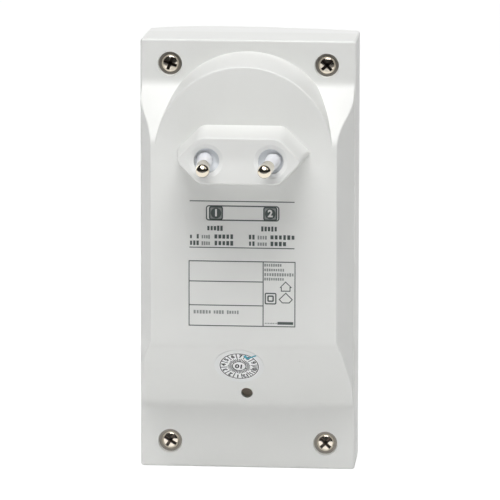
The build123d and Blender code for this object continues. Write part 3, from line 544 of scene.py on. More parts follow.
def plain_mesh(item):
    """The mesh that an object shows, with its modifiers or its letters worked out."""
    bpy.context.view_layer.update()
    return bpy.data.meshes.new_from_object(item.evaluated_get(bpy.context.evaluated_depsgraph_get()))


def grow(piece, tree, **values):
    """Makes the piece's mesh the plain result of a tree, whose inputs are named with _ for a space."""
    modifier = piece.modifiers.new(tree.name, "NODES")
    modifier.node_group = tree
    for item in tree.interface.items_tree:
        label = item.name.replace(" ", "_")
        if item.item_type == "SOCKET" and item.in_out == "INPUT" and label in values:
            modifier[item.identifier] = values[label]
    grown = plain_mesh(piece)
    piece.modifiers.remove(modifier)
    piece.data = grown


def carry(piece, name, values):
    """Gives each point of a piece its own vector under a name."""
    attribute = piece.data.attributes.new(name, "FLOAT_VECTOR", "POINT")
    for point, value in zip(attribute.data, values):
        point.vector = value


# Every dash is one small block; its width and height vary a little, as written words do.
dash_tree, given, made = node_tree("printed_dashes", Fill="Float", Unevenness="Float", Seed="Int",
                                   Ink="Material")
smallest = number(dash_tree, "SUBTRACT", 1.0, given.outputs["Unevenness"])
chance = place_node(dash_tree, "FunctionNodeRandomValue", data_type="FLOAT_VECTOR",
                    values={"Max": (1, 1, 1)}, links={"Min": smallest, "Seed": given.outputs["Seed"]})
uneven = place_node(dash_tree, "ShaderNodeVectorMath", operation="MULTIPLY",
                    links={0: carried(dash_tree, "extent"), 1: chance.outputs[0]})
narrowed = place_node(dash_tree, "ShaderNodeVectorMath", operation="MULTIPLY",
                      links={0: uneven.outputs[0], 1: vector(dash_tree, given.outputs["Fill"], 1.0, 1.0)})
dash = place_node(dash_tree, "GeometryNodeMeshCube")
row = place_node(dash_tree, "GeometryNodeInstanceOnPoints",
                 links={"Points": given.outputs["Geometry"], "Instance": dash.outputs["Mesh"],
                        "Scale": narrowed.outputs[0]})
end_tree(dash_tree, made, row.outputs[0], given.outputs["Ink"])

for tone, material, fill in (("ink", ink, dark_fill), ("faint", faint_ink, faint_fill)):
    places, extents = [], []
    for left, right, foot, height, count, darkness in dash_rows:
        if darkness != tone:
            continue
        pitch = (right - left) / count
        for index in range(count):
            places.append((left + pitch * (index + 0.5), raised_back, foot + height / 2))
            extents.append(Vector((pitch, 2 * ink_rise, height)) * MM)
    dashes = new_piece(f"printed_dashes_{tone}", places, [])
    carry(dashes, "extent", extents)
    grow(dashes, dash_tree, Fill=fill, Unevenness=dash_unevenness, Seed=7, Ink=material)
    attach(dashes, "box")


def printed_figure(name, words, height, place, material):
    """Plain figures as a thin closed mesh, laid at a place by a matrix."""
    letters = bpy.data.curves.new(name, "FONT")
    letters.body = words
    letters.size = height * MM / figure_share
    letters.align_x, letters.align_y = "CENTER", "CENTER"
    letters.extrude = ink_rise / 2 * MM
    letters.offset = figure_boldness * height * MM
    letters.resolution_u = 3
    drawn = in_scene(name + "_drawn", letters)
    mesh = plain_mesh(drawn)
    bpy.data.objects.remove(drawn)
    mesh.transform(place)
    mesh.materials.clear()
    mesh.materials.append(material)
    mesh.name = name
    return in_scene(name, mesh)


mark_squares = closed_piece("guide_squares", join_parts([
    block((middle - mark_half, raised_back - ink_rise / 2, mark_middle - mark_half),
          (middle + mark_half, ink_back, mark_middle + mark_half)) for middle, _ in guide_marks]), faint_ink)
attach(mark_squares, "box")
mark_discs = closed_piece("guide_discs", join_parts([
    disc_block((middle, mark_middle), mark_disc, ink_front, ink_back) for middle, _ in guide_marks]), ink)
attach(mark_discs, "box")
bare_paint, *_ = finish("bare_plastic_in_print", housing_white, housing_roughness, tone=housing_tone,
                        grain_size=grain_size, relief=grain_relief)
facing_out = Matrix.Rotation(math.radians(90), 4, "X")
for middle, numeral in guide_marks:
    place = Matrix.Translation(Vector((middle, raised_back - 1.5 * ink_rise, mark_middle)) * MM)
    figure = printed_figure(f"guide_numeral_{numeral}", numeral, numeral_height, place @ facing_out,
                            bare_paint)
    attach(figure, "box")


# Housing screws
# Four nickel-plated pan head screws with cross recesses, which hold the two halves together.
# Each was driven home at its own angle, and its flange, painted a dull grey-brown as the shade of the recess
# wall, sits at the bottom of a deep round recess.
screw_places = ((-23.1, 23.3, 22.0), (23.1, 23.3, 48.0), (-23.1, -89.9, 33.0), (23.1, -89.9, 45.0))
screw_seat = 36.2
# A screw without a flange has one so small that its head hides it.
hidden_flange = {"Flange_Diameter": 1.0, "Flange_Height": 0.1}
# The straight skirt's share of the head's height, and how far down its length the shank's middle lies.
skirt_share = 0.45
shank_middle_share = 0.49
nickel_colour = (0.89, 0.81, 0.70)
# The cross recesses get a dark tone that is painted shade of their narrow hollows.
recess_shade_colour = (0.11, 0.09, 0.075)
# The flange's dull grey-brown is painted shade: it stands for the shaded wall of the recess round the head.
flange_shade_colour = (0.36, 0.335, 0.30)

brushed_lines, given, made = shader_group(
    "brushed_lines", {"Line Width": "Float", "Stretch": "Vector", "Roughness": "Float",
                      "Roughness Spread": "Float"},
    {"Lines": "Float", "Roughness": "Float"})
stretched = place_node(brushed_lines, "ShaderNodeVectorMath", operation="MULTIPLY",
                       links={0: fine_position(brushed_lines, given.outputs["Line Width"]),
                              1: given.outputs["Stretch"]})
lines = place_node(brushed_lines, "ShaderNodeTexNoise", values={"Scale": 1.0},
                   links={"Vector": stretched.outputs[0]})
rough = swing(brushed_lines, lines, given.outputs["Roughness Spread"], given.outputs["Roughness"])
give_out(brushed_lines, made, Lines=lines.outputs[0], Roughness=rough)


def metal(name, colour, roughness, stretch=(1, 1, 1), line_width=0.1, relief=0.004, tone=0.1, patch=3.0,
          spread=0.12):
    """A metal with fine lines along the direction in which the stretch is least."""
    material, tree, _, bump, principled = finish(name, colour, roughness, tone=tone, patch=patch,
                                                 relief=relief, values={"Metallic": 1.0})
    lines = use_group(tree, brushed_lines, {"Line Width": line_width, "Stretch": stretch,
                                            "Roughness": roughness, "Roughness Spread": spread})
    tree.links.new(lines.outputs["Lines"], bump.inputs["Height"])
    tree.links.new(lines.outputs["Roughness"], principled.inputs["Roughness"])
    return material


screw_nickel = metal("screw_nickel", nickel_colour, roughness=0.13, line_width=0.3, relief=0.01)
# Painted shade: the faces of the cross recesses take this dark metal.
recess_nickel = metal("recess_nickel", recess_shade_colour, roughness=0.3, line_width=0.3, relief=0.02)
# Painted shade for the housing screws' flanges.
flange_nickel = metal("flange_nickel", flange_shade_colour, roughness=0.5, line_width=0.3, relief=0.01)

screw_tree, given, made = node_tree(
    "pan_head_screw", Head_Diameter="Float", Head_Height="Float", Shank_Diameter="Float",
    Shank_Length="Float", Recess_Length="Float", Recess_Width="Float", Recess_Depth="Float",
    Flange_Diameter="Float", Flange_Height="Float", Finish="Material", Recess_Finish="Material",
    Flange_Finish="Material")


def lifted(geometry, height, **links):
    """A part of the screw, moved up along its axis."""
    return place_node(screw_tree, "GeometryNodeTransform",
                      links={"Geometry": geometry, "Translation": vector(screw_tree, 0.0, 0.0, height),
                             **links}).outputs[0]


def round_part(diameter, length, middle_share=0.5, corners=64):
    """A cylinder on the screw's axis, with its middle at a share of its length above the seat."""
    part = place_node(screw_tree, "GeometryNodeMeshCylinder", values={"Vertices": corners},
                      links={"Radius": number(screw_tree, "MULTIPLY", diameter, 0.5), "Depth": length})
    return lifted(part.outputs["Mesh"], number(screw_tree, "MULTIPLY", length, middle_share))


def marked_faces(geometry, name):
    """A part of the screw whose faces carry a mark."""
    return place_node(screw_tree, "GeometryNodeStoreNamedAttribute", data_type="FLOAT", domain="FACE",
                      links={"Geometry": geometry}, values={"Name": name, "Value": 1.0}).outputs[0]


radius = number(screw_tree, "MULTIPLY", given.outputs["Head Diameter"], 0.5)
skirt = number(screw_tree, "MULTIPLY", given.outputs["Head Height"], skirt_share)
dome_rise = number(screw_tree, "SUBTRACT", given.outputs["Head Height"], skirt)
ball = place_node(screw_tree, "GeometryNodeMeshUVSphere", values={"Segments": 64, "Rings": 24})
head = place_node(screw_tree, "GeometryNodeMeshBoolean", operation="UNION", solver="EXACT")
for part in (round_part(given.outputs["Head Diameter"], skirt),
             lifted(ball.outputs["Mesh"], skirt, Scale=vector(screw_tree, radius, radius, dome_rise)),
             round_part(given.outputs["Shank Diameter"], given.outputs["Shank Length"],
                        -shank_middle_share, corners=32),
             marked_faces(round_part(given.outputs["Flange Diameter"], given.outputs["Flange Height"]),
                          "on_flange")):
    screw_tree.links.new(part, head.inputs["Mesh 2"])
cross = place_node(screw_tree, "GeometryNodeMeshBoolean", operation="DIFFERENCE", solver="EXACT",
                   links={"Mesh 1": head.outputs["Mesh"]})
cut_height = number(screw_tree, "MULTIPLY", given.outputs["Recess Depth"], 2.0)
for along, across in (("Recess Length", "Recess Width"), ("Recess Width", "Recess Length")):
    bar = place_node(screw_tree, "GeometryNodeMeshCube",
                     links={"Size": vector(screw_tree, given.outputs[along], given.outputs[across],
                                           cut_height)})
    bar = marked_faces(lifted(bar.outputs["Mesh"], given.outputs["Head Height"]), "in_recess")
    screw_tree.links.new(bar, cross.inputs["Mesh 2"])
screws = place_node(screw_tree, "GeometryNodeInstanceOnPoints",
                    links={"Points": given.outputs["Geometry"], "Instance": cross.outputs["Mesh"],
                           "Rotation": carried(screw_tree, "facing")})
end_tree(screw_tree, made, screws.outputs[0], given.outputs["Finish"],
         in_recess=given.outputs["Recess Finish"], on_flange=given.outputs["Flange Finish"])


def smooth(piece, degrees=35):
    """Smooth shading, with edges kept where the surface turns sharply."""
    for polygon in piece.data.polygons:
        polygon.use_smooth = True
    piece.data.set_sharp_from_angle(angle=math.radians(degrees))


def set_screws(name, places, depth, outward_turn, flange_finish=screw_nickel, **sizes):
    """Screws at places given as X, Z and their turn, with their seats at one depth."""
    piece = new_piece(name, [(x, depth, z) for x, z, _ in places], [])
    carry(piece, "facing", [(math.radians(outward_turn), math.radians(angle), 0) for _, _, angle in places])
    sizes = {label: size * MM for label, size in {**hidden_flange, **sizes}.items()}
    grow(piece, screw_tree, Finish=screw_nickel, Recess_Finish=recess_nickel, Flange_Finish=flange_finish,
         **sizes)
    smooth(piece)
    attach(piece, "box")
    return piece


housing_screws = set_screws(
    "housing_screws_turned", screw_places, screw_seat, 90, flange_nickel, Head_Diameter=5.4,
    Head_Height=2.0, Shank_Diameter=2.9, Shank_Length=13.0, Recess_Length=4.1, Recess_Width=0.95,
    Recess_Depth=1.5, Flange_Diameter=6.8, Flange_Height=1.1)
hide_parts("housing_screws")


# Date sticker
# A round white paper label on the lower slope, printed with twelve plain numbers and a ring of ticks.
# Its middle holds one plain number, and two short strokes of turquoise pen mark a number of the ring.
sticker_middle = (-1.6, -64.6)
slope_top, slope_foot = -57.6, -78.1
raised_height = 16.5
paper_thickness = 0.17
ring_outer, ring_inner, ring_middle = 5.65, 3.5, 2.0
ring_rule_width = 0.25
numeral_ring = 4.55
ring_numeral_height = 1.35
middle_numeral_height = 1.7
print_turn = 172.0
white_margin = 0.35
months = 12
# Each ring of ticks: name, how many, inner and outer radius, width and how much shorter one may be.
tick_rings = (("month_lines", months, ring_inner, ring_outer, 0.28, 0.0),
              ("month_ticks", 3 * months, ring_middle, ring_inner, 0.27, 0.55))
# Each stroke of the pen: its points on the sticker, and its width.
pen_strokes = ((((1.8, 4.9), (2.2, 4.1), (2.75, 3.5)), 0.8),
               (((2.5, 3.3), (3.6, 4.1), (5.2, 5.0)), 0.5))
pen_rise = 2.6 * ink_rise
paper_white = (0.83, 0.84, 0.835)
printed_white_colour = (0.95, 0.955, 0.955)
black_ink_colour = (0.025, 0.027, 0.03)
pen_turquoise = (0.05, 0.36, 0.46)

sticker_paper, *_ = finish("sticker_paper", paper_white, roughness=0.55, tone=0.06, patch=4.0,
                           grain_size=0.15, values={"Specular IOR Level": 0.35})
dress(sticker_paper, "date_sticker")
black_ink = ink_material("black_print_ink", black_ink_colour)
pen_ink = ink_material("turquoise_pen_ink", pen_turquoise)
printed_white = ink_material("white_print_ink", printed_white_colour)

slope_run = slope_top - slope_foot
slope_normal = Vector((0, -slope_run, -raised_height)).normalized()
slope_up = Vector((0, -raised_height, slope_run)).normalized()
slope_axes = Matrix((Vector((1, 0, 0)), slope_up, slope_normal)).transposed().to_4x4()
sticker_x, sticker_z = sticker_middle
sticker_depth = raised_back + raised_height * (slope_top - sticker_z) / slope_run
paper_face = Vector((sticker_x, sticker_depth, sticker_z)) + slope_normal * paper_thickness
# The paper's frame is in millimetres, for pieces drawn there, and the print's turned frame in metres.
slope_frame = Matrix.Translation(paper_face) @ slope_axes
print_frame = (Matrix.Translation(paper_face * MM) @ slope_axes
               @ Matrix.Rotation(math.radians(print_turn), 4, "Z"))


def on_slope(parts, rise):
    """Lays flat parts drawn in X and Z on the sticker, at a small rise."""
    vertices, faces = join_parts(parts)
    return [slope_frame @ Vector((x, z, rise - depth)) for x, depth, z in vertices], faces


# Short marks stand round a circle and point to its middle; their lengths vary a little.
tick_tree, given, made = node_tree("radial_ticks", Count="Int", Radius="Float", Length="Float", Width="Float",
                                   Thickness="Float", Unevenness="Float", Ink="Material")
rim = place_node(tick_tree, "GeometryNodeMeshCircle",
                 links={"Vertices": given.outputs["Count"], "Radius": given.outputs["Radius"]})
spot = place_node(tick_tree, "GeometryNodeInputPosition")
turned = place_node(tick_tree, "FunctionNodeAlignRotationToVector", axis="Y",
                    links={"Vector": spot.outputs[0]})
smallest = number(tick_tree, "SUBTRACT", 1.0, given.outputs["Unevenness"])
chance = place_node(tick_tree, "FunctionNodeRandomValue", data_type="FLOAT", values={"Seed": 5},
                    links={"Min": smallest})
extent = vector(tick_tree, given.outputs["Width"],
                number(tick_tree, "MULTIPLY", given.outputs["Length"], chance.outputs[1]),
                given.outputs["Thickness"])
tick = place_node(tick_tree, "GeometryNodeMeshCube")
ticks = place_node(tick_tree, "GeometryNodeInstanceOnPoints",
                   links={"Points": rim.outputs[0], "Instance": tick.outputs["Mesh"],
                          "Rotation": turned.outputs[0], "Scale": extent})
end_tree(tick_tree, made, ticks.outputs[0], given.outputs["Ink"])

date_ground = closed_piece(
    "date_ground", on_slope([disc_block((0, 0), ring_outer + white_margin, 0, ink_rise)], ink_rise / 4),
    printed_white)
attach(date_ground, "box")
half_month = Matrix.Rotation(math.pi / months, 4, "Z")
for name, count, inner, outer, width, unevenness in tick_rings:
    marks = new_piece(name, [(0, 0, 0)], [])
    grow(marks, tick_tree, Count=count, Radius=(inner + outer) / 2 * MM, Length=(outer - inner) * MM,
         Width=width * MM, Thickness=ink_rise * MM, Unevenness=unevenness, Ink=black_ink)
    marks.data.transform(print_frame @ half_month)
    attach(marks, "box")
date_ring = closed_piece(
    "date_ring", on_slope([outline_strip(circle(radius), ring_rule_width, 0, ink_rise)
                           for radius in (ring_outer, ring_middle)], ink_rise), black_ink)
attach(date_ring, "box")
for month in range(months):
    turn = math.tau * month / months
    spot = Vector((numeral_ring * math.sin(turn), numeral_ring * math.cos(turn), ink_rise)) * MM
    figure = printed_figure(
        f"month_{month + 1}", str(month + 1), ring_numeral_height,
        print_frame @ Matrix.Translation(spot) @ Matrix.Rotation(-turn, 4, "Z"), black_ink)
    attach(figure, "box")
middle_figure = printed_figure("middle_number", "10", middle_numeral_height,
                               print_frame @ Matrix.Translation((0, 0, ink_rise * MM)), black_ink)
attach(middle_figure, "box")
pen_stroke = closed_piece(
    "pen_stroke", on_slope([outline_strip(points, width, 0, ink_rise, closed=False)
                            for points, width in pen_strokes], pen_rise), pen_ink)
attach(pen_stroke, "box")


# Plug
# Two brass pins, plated and polished, in moulded sleeves that rise from a bluish carrier.
# They lean a little towards each other, so that they grip in the socket.
plated_pin = metal("plated_pin", colour=(0.80, 0.73, 0.61), roughness=0.06, stretch=(1, 0.06, 1),
                   line_width=0.09, relief=0.001, patch=2.4, spread=0.05)
sleeve_plastic, *_ = finish("sleeve_plastic", colour=(0.925, 0.935, 0.975), roughness=0.34, tone=0.05,
                            patch=3.0, values={"Subsurface Weight": 0.15,
                                               "Subsurface Radius": (0.001, 0.001, 0.0012)})
carrier_plastic, *_ = finish("carrier_plastic", colour=(0.93, 0.96, 0.995), roughness=0.4, tone=0.06,
                             patch=4.0)
spring_brass = metal("spring_brass", colour=(0.78, 0.56, 0.24), roughness=0.28, stretch=(1, 1, 0.1))
dress(plated_pin, "plug_pins")
dress(sleeve_plastic, "pin_sleeves")
dress(carrier_plastic, "pin_carrier")
dress(spring_brass, "pin_contacts")


# Front cover
# A bowed white shell, smoother than the housing, with a slotted grille over the loudspeaker.
# The four housing screws pull it onto the housing from the back.
cover_plastic, *_ = finish("cover_plastic", colour=(0.82, 0.825, 0.81), roughness=0.30, tone=0.04,
                           grain_size=0.5, relief=0.006)
dress(cover_plastic, "front_cover")


# Grille cloth
# Black woven cloth stretched behind the grille's slots, which keeps dust out of the loudspeaker.
# Its threads are about half a millimetre wide, over and under each other.
cloth_radius = 25.0
cloth_middle = -54.0
cloth_front, cloth_thickness = 53.34, 0.22
thread_pitch = 0.5
thread_relief = 0.12

weave, given, made = shader_group("weave", {"Thread Pitch": "Float"}, {"Height": "Float"})
threads = place_node(weave, "ShaderNodeSeparateXYZ",
                     links={0: fine_position(weave, given.outputs["Thread Pitch"])})


def wave(tree, source, shift=0.0):
    """A sine that changes its sign at each whole number of the source."""
    return number(tree, "SINE", number(tree, "MULTIPLY_ADD", source, math.pi, shift))


weft = number(weave, "ABSOLUTE", wave(weave, threads.outputs["X"]))
warp = number(weave, "ABSOLUTE", wave(weave, threads.outputs["Z"]))
sides = number(weave, "MULTIPLY", wave(weave, threads.outputs["X"], math.pi / 2),
               wave(weave, threads.outputs["Z"], math.pi / 2))
over = number(weave, "GREATER_THAN", sides, 0.0)
height = place_node(weave, "ShaderNodeMix", links={0: over, 2: weft, 3: warp})
give_out(weave, made, Height=height.outputs[0])

cloth_black, tree, _, bump, _ = finish(
    "grille_cloth_black", colour=(0.02, 0.02, 0.022), roughness=0.85, tone=0.2, patch=5.0,
    relief=thread_relief, values={"Sheen Weight": 0.4})
woven = use_group(tree, weave, {"Thread Pitch": thread_pitch})
tree.links.new(woven.outputs["Height"], bump.inputs["Height"])

steps, rings = 96, 12
vertices, faces = [], []
for depth in (cloth_front, cloth_front - cloth_thickness):
    start = len(vertices)
    vertices.append((0, depth, cloth_middle))
    for ring_number in range(1, rings + 1):
        vertices += [(x, depth, z) for x, z in circle(cloth_radius * ring_number / rings,
                                                      (0, cloth_middle), steps)]
    faces += [[start, start + 1 + step, start + 1 + (step + 1) % steps] for step in range(steps)]
    for ring_number in range(rings - 1):
        base = start + 1 + steps * ring_number
        faces += [[base + step, base + steps + step, base + steps + (step + 1) % steps,
                   base + (step + 1) % steps] for step in range(steps)]
other_face = len(vertices) // 2
outer = 1 + steps * (rings - 1)
faces += [[outer + step, outer + (step + 1) % steps, other_face + outer + (step + 1) % steps,
           other_face + outer + step] for step in range(steps)]
grille_weave = closed_piece("grille_weave", (vertices, faces), cloth_black)
smooth(grille_weave)
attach(grille_weave, "box")
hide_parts("grille_cloth")


# Status light and light pipe
# A blue lamp on the board shines through a clear pipe with a collar, which snaps into the cover.
# The pipe is clear moulded plastic, and the lamp's own lens is tinted blue.
clear_pipe, *_ = finish("clear_pipe", colour=(0.86, 0.90, 0.95), roughness=0.12,
                        values={"Transmission Weight": 0.85, "IOR": 1.49})
lamp_lens, *_ = finish("lamp_lens", colour=(0.40, 0.58, 0.92), roughness=0.18, tone=0.05,
                       values={"Transmission Weight": 0.5, "IOR": 1.52})
dress(clear_pipe, "light_pipe")
dress(lamp_lens, "status_light")


# Push switches and buttons
# Two black tact switches stand in a slot of the underside; each has a steel snap dome under its button.
# The buttons are moulded in black plastic, which use has rubbed unevenly.
switch_plastic, *_ = finish("switch_plastic", colour=(0.03, 0.03, 0.033), roughness=0.5, tone=0.2, patch=2.0)
button_plastic, *_ = finish("button_plastic", colour=(0.045, 0.045, 0.05), roughness=0.36, tone=0.25,
                            patch=1.5, spread=0.2)
dome_steel = metal("dome_steel", colour=(0.66, 0.66, 0.66), roughness=0.25)
dress(switch_plastic, "switch_bodies")
dress(button_plastic, "button_1", "button_2")
dress(dome_steel, "switch_domes")


# Main board
# A green fibreglass board with etched tracks under its lacquer and tinned pads.
# Four small screws hold it to the housing's pillars; a clay trimmer shows through the slope's hole.
lacquer_green = (0.012, 0.085, 0.035)
track_green = (0.05, 0.20, 0.075)
pad_tin = (0.62, 0.62, 0.60)
track_spacing = 4.2
track_relief = 0.035
# A track's half width and a pad's reach, as shares of the spacing.
track_share, pad_share = 0.09, 0.16
trimmer_place = (0.0, -74.3)
# Each step of the trimmer: its radius, and where it starts and ends above the board.
trimmer_steps = ((2.6, 0.02, 0.9), (2.2, 0.9, 1.55))
board_screw_places = ((-19.0, 8.0, 20.0), (19.0, 8.0, 37.0), (-21.0, -40.0, 54.0), (21.0, -40.0, 71.0))
board_screw_seat = 38.1

board_tracks, given, made = shader_group("board_tracks", {"Spacing": "Float"},
                                         {"Tracks": "Float", "Pads": "Float"})
flat = place_node(board_tracks, "ShaderNodeVectorMath", operation="MULTIPLY", values={1: (1, 0, 1)},
                  links={0: fine_position(board_tracks, given.outputs["Spacing"])})
loose_grid = {"values": {"Scale": 1.0, "Randomness": 0.8}, "links": {"Vector": flat.outputs[0]}}
cells = place_node(board_tracks, "ShaderNodeTexVoronoi", distance="MANHATTAN", **loose_grid)
edges = place_node(board_tracks, "ShaderNodeTexVoronoi", feature="DISTANCE_TO_EDGE", **loose_grid)
give_out(board_tracks, made,
         Tracks=number(board_tracks, "LESS_THAN", edges.outputs["Distance"], track_share),
         Pads=number(board_tracks, "LESS_THAN", cells.outputs["Distance"], pad_share))


def board_material(name, lacquer, track):
    """Lacquered board with raised tracks and bare tinned pads."""
    material, tree, surface, bump, principled = finish(name, lacquer, roughness=0.32, tone=0.2, patch=9.0,
                                                       relief=track_relief)
    etched = use_group(tree, board_tracks, {"Spacing": track_spacing})
    with_tracks = painted(tree, etched.outputs["Tracks"], surface.outputs["Colour"], track)
    with_pads = painted(tree, etched.outputs["Pads"], with_tracks, pad_tin)
    tree.links.new(with_pads, principled.inputs["Base Color"])
    tree.links.new(etched.outputs["Pads"], principled.inputs["Metallic"])
    tree.links.new(etched.outputs["Tracks"], bump.inputs["Height"])
    return material


board_green = board_material("board_green", lacquer_green, track_green)
dress(board_green, "main_board")
trimmer_clay, *_ = finish("trimmer_clay", colour=(0.78, 0.66, 0.55), roughness=0.5, tone=0.12, patch=1.5)
board_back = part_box("main_board")[0].y / MM
trimmer = closed_piece("radio_trimmer", join_parts([
    disc_block(trimmer_place, radius, board_back - rise, board_back - foot)
    for radius, foot, rise in trimmer_steps]), trimmer_clay)
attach(trimmer, "box")
small_screws = set_screws("board_screws_turned", board_screw_places, board_screw_seat, -90,
                          Head_Diameter=4.6, Head_Height=1.6, Shank_Diameter=2.5, Shank_Length=7.0,
                          Recess_Length=2.7, Recess_Width=0.65, Recess_Depth=0.9)
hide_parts("board_screws")


# Transformer
# A stack of varnished steel laminations round a black bobbin with two windings of copper wire.
# It is soldered to the back of the board by the bobbin's two feet.
core_depth = 28.1
winding_width, winding_depth, winding_build = 17.7, 15.7, 2.8
winding_corner = 1.6
winding_spans = ((-31.4, -25.5), (-24.5, -18.6))
winding_wire = 0.36
winding_turns = 16
lamination = 0.5
# A wave texture at a scale of 1 repeats after this length.
wave_length = math.pi / 10

core_steel, tree, _, bump, _ = finish("core_steel", colour=(0.16, 0.16, 0.175), roughness=0.42, tone=0.3,
                                      patch=6.0, relief=0.05, values={"Metallic": 0.7})
where = place_node(tree, "ShaderNodeTexCoord")
laminations = place_node(tree, "ShaderNodeTexWave", bands_direction="Y",
                         values={"Scale": wave_length / (lamination * MM)},
                         links={"Vector": where.outputs["Object"]})
tree.links.new(laminations.outputs[1], bump.inputs["Height"])
bobbin_plastic, *_ = finish("bobbin_plastic", colour=(0.035, 0.035, 0.04), roughness=0.5, tone=0.2, patch=3.0)
enamelled_copper = metal("enamelled_copper", colour=(0.62, 0.21, 0.075), roughness=0.3, tone=0.2, patch=1.5)
dress(core_steel, "transformer_core")
dress(bobbin_plastic, "transformer_bobbin")

winding_tree, given, made = node_tree("layered_winding", Width="Float", Depth="Float", Build="Float",
                                      Height="Float", Corner="Float", Wire="Float", Turns="Int",
                                      Finish="Material")


def loop_of(inset):
    """The winding's rounded outline, moved in from its outer size."""
    both_sides = number(winding_tree, "MULTIPLY", inset, 2.0)
    outline = place_node(winding_tree, "GeometryNodeCurvePrimitiveQuadrilateral",
                         links={"Width": number(winding_tree, "SUBTRACT", given.outputs["Width"], both_sides),
                                "Height": number(winding_tree, "SUBTRACT", given.outputs["Depth"],
                                                 both_sides)})
    return place_node(winding_tree, "GeometryNodeFilletCurve", mode="POLY", values={"Count": 6},
                      links={"Curve": outline.outputs[0], "Radius": given.outputs["Corner"]}).outputs[0]


def round_section(tree, radius, corners):
    """A wire's round section."""
    return place_node(tree, "GeometryNodeCurvePrimitiveCircle", mode="RADIUS",
                      values={"Resolution": corners}, links={"Radius": radius}).outputs[0]


def swept(tree, path, section, capped=False):
    """A section carried along a path."""
    return place_node(tree, "GeometryNodeCurveToMesh", values={"Fill Caps": capped},
                      links={"Curve": path, "Profile Curve": section}).outputs[0]


half_wire = number(winding_tree, "MULTIPLY", given.outputs["Wire"], 0.5)
one_turn = swept(winding_tree, loop_of(half_wire), round_section(winding_tree, half_wire, 6))
rise = number(winding_tree, "SUBTRACT", given.outputs["Height"], given.outputs["Wire"])
gaps = number(winding_tree, "SUBTRACT", given.outputs["Turns"], 1.0)
first = vector(winding_tree, 0.0, 0.0, number(winding_tree, "MULTIPLY", rise, -0.5))
pitch = vector(winding_tree, 0.0, 0.0, number(winding_tree, "DIVIDE", rise, gaps))
heights = place_node(winding_tree, "GeometryNodeMeshLine", mode="OFFSET",
                     links={"Count": given.outputs["Turns"], "Start Location": first, "Offset": pitch})
turns = place_node(winding_tree, "GeometryNodeInstanceOnPoints",
                   links={"Points": heights.outputs[0], "Instance": one_turn})
# The layers under the outer one are a plain body, as thick as the winding less half a wire.
inside = number(winding_tree, "SUBTRACT", given.outputs["Build"], half_wire)
inside_middle = number(winding_tree, "ADD", half_wire, number(winding_tree, "MULTIPLY", inside, 0.5))
layer_section = place_node(winding_tree, "GeometryNodeCurvePrimitiveQuadrilateral",
                           links={"Width": inside, "Height": given.outputs["Height"]})
layers = swept(winding_tree, loop_of(inside_middle), layer_section.outputs[0], capped=True)
both = place_node(winding_tree, "GeometryNodeJoinGeometry")
for part in (layers, turns.outputs[0]):
    winding_tree.links.new(part, both.inputs[0])
end_tree(winding_tree, made, both.outputs[0], given.outputs["Finish"])

for index, (low, high) in enumerate(winding_spans):
    winding = new_piece(f"wound_wire_{index + 1}", [(0, 0, 0)], [])
    grow(winding, winding_tree, Width=winding_width * MM, Depth=winding_depth * MM,
         Build=winding_build * MM, Height=(high - low) * MM, Corner=winding_corner * MM,
         Wire=winding_wire * MM, Turns=winding_turns, Finish=enamelled_copper)
    winding.data.transform(Matrix.Translation(Vector((0, core_depth, (low + high) / 2)) * MM))
    outward(winding)
    smooth(winding, 50)
    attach(winding, "box")
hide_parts("transformer_windings")


# Small parts of the mains supply
# Moulded, dipped and painted parts that stand on the board on tinned wires.
# Their wires show as bare metal beyond each body, and their bands and stripes are printed.
wire_tin = (0.66, 0.66, 0.64)
along_x, along_y, along_z = (1, 0, 0), (0, 1, 0), (0, 0, 1)
fuse_middle = -24.0
fuse_band_half = 0.45
# Each band of the fuse resistor: its place from the middle, and its colour.
fuse_bands = ((-2.6, (0.30, 0.04, 0.02)), (-1.1, (0.02, 0.02, 0.02)), (0.4, (0.02, 0.02, 0.02)),
              (2.6, (0.45, 0.30, 0.05)))


def from_middle(group, middle):
    """Object coordinates in millimetres, counted from a middle."""
    where = place_node(group, "ShaderNodeTexCoord")
    in_mm = place_node(group, "ShaderNodeVectorMath", operation="SCALE", values={"Scale": 1 / MM},
                       links={0: where.outputs["Object"]})
    return place_node(group, "ShaderNodeVectorMath", operation="SUBTRACT",
                      links={0: in_mm.outputs[0], 1: middle}).outputs[0]


band_mask, given, made = shader_group(
    "band_mask", {"Middle": "Vector", "Along": "Vector", "Half Width": "Float"},
    {"Inside": "Float", "Outside": "Float"})
run = place_node(band_mask, "ShaderNodeVectorMath", operation="DOT_PRODUCT",
                 links={0: from_middle(band_mask, given.outputs["Middle"]), 1: given.outputs["Along"]})
distance = number(band_mask, "ABSOLUTE", run.outputs["Value"])
inside = number(band_mask, "LESS_THAN", distance, given.outputs["Half Width"])
give_out(band_mask, made, Inside=inside, Outside=number(band_mask, "SUBTRACT", 1.0, inside))


def use_band(tree, middle, along, half):
    """The mask of a band: its middle, the direction across it and its half width."""
    return use_group(tree, band_mask, {"Middle": middle, "Along": along, "Half Width": half})


def banded(name, colour, roughness, bands=(), body=None):
    """A body's finish with printed bands, and bare metal outside the body's own band."""
    material, tree, surface, _, principled = finish(name, colour, roughness, tone=0.15, patch=2.0)
    top = surface.outputs["Colour"]
    for middle, along, half, tint in bands:
        top = painted(tree, use_band(tree, middle, along, half).outputs["Inside"], top, tint)
    if body:
        wires = use_band(tree, *body).outputs["Outside"]
        tree.links.new(wires, principled.inputs["Metallic"])
        top = painted(tree, wires, top, wire_tin)
    tree.links.new(top, principled.inputs["Base Color"])
    return material


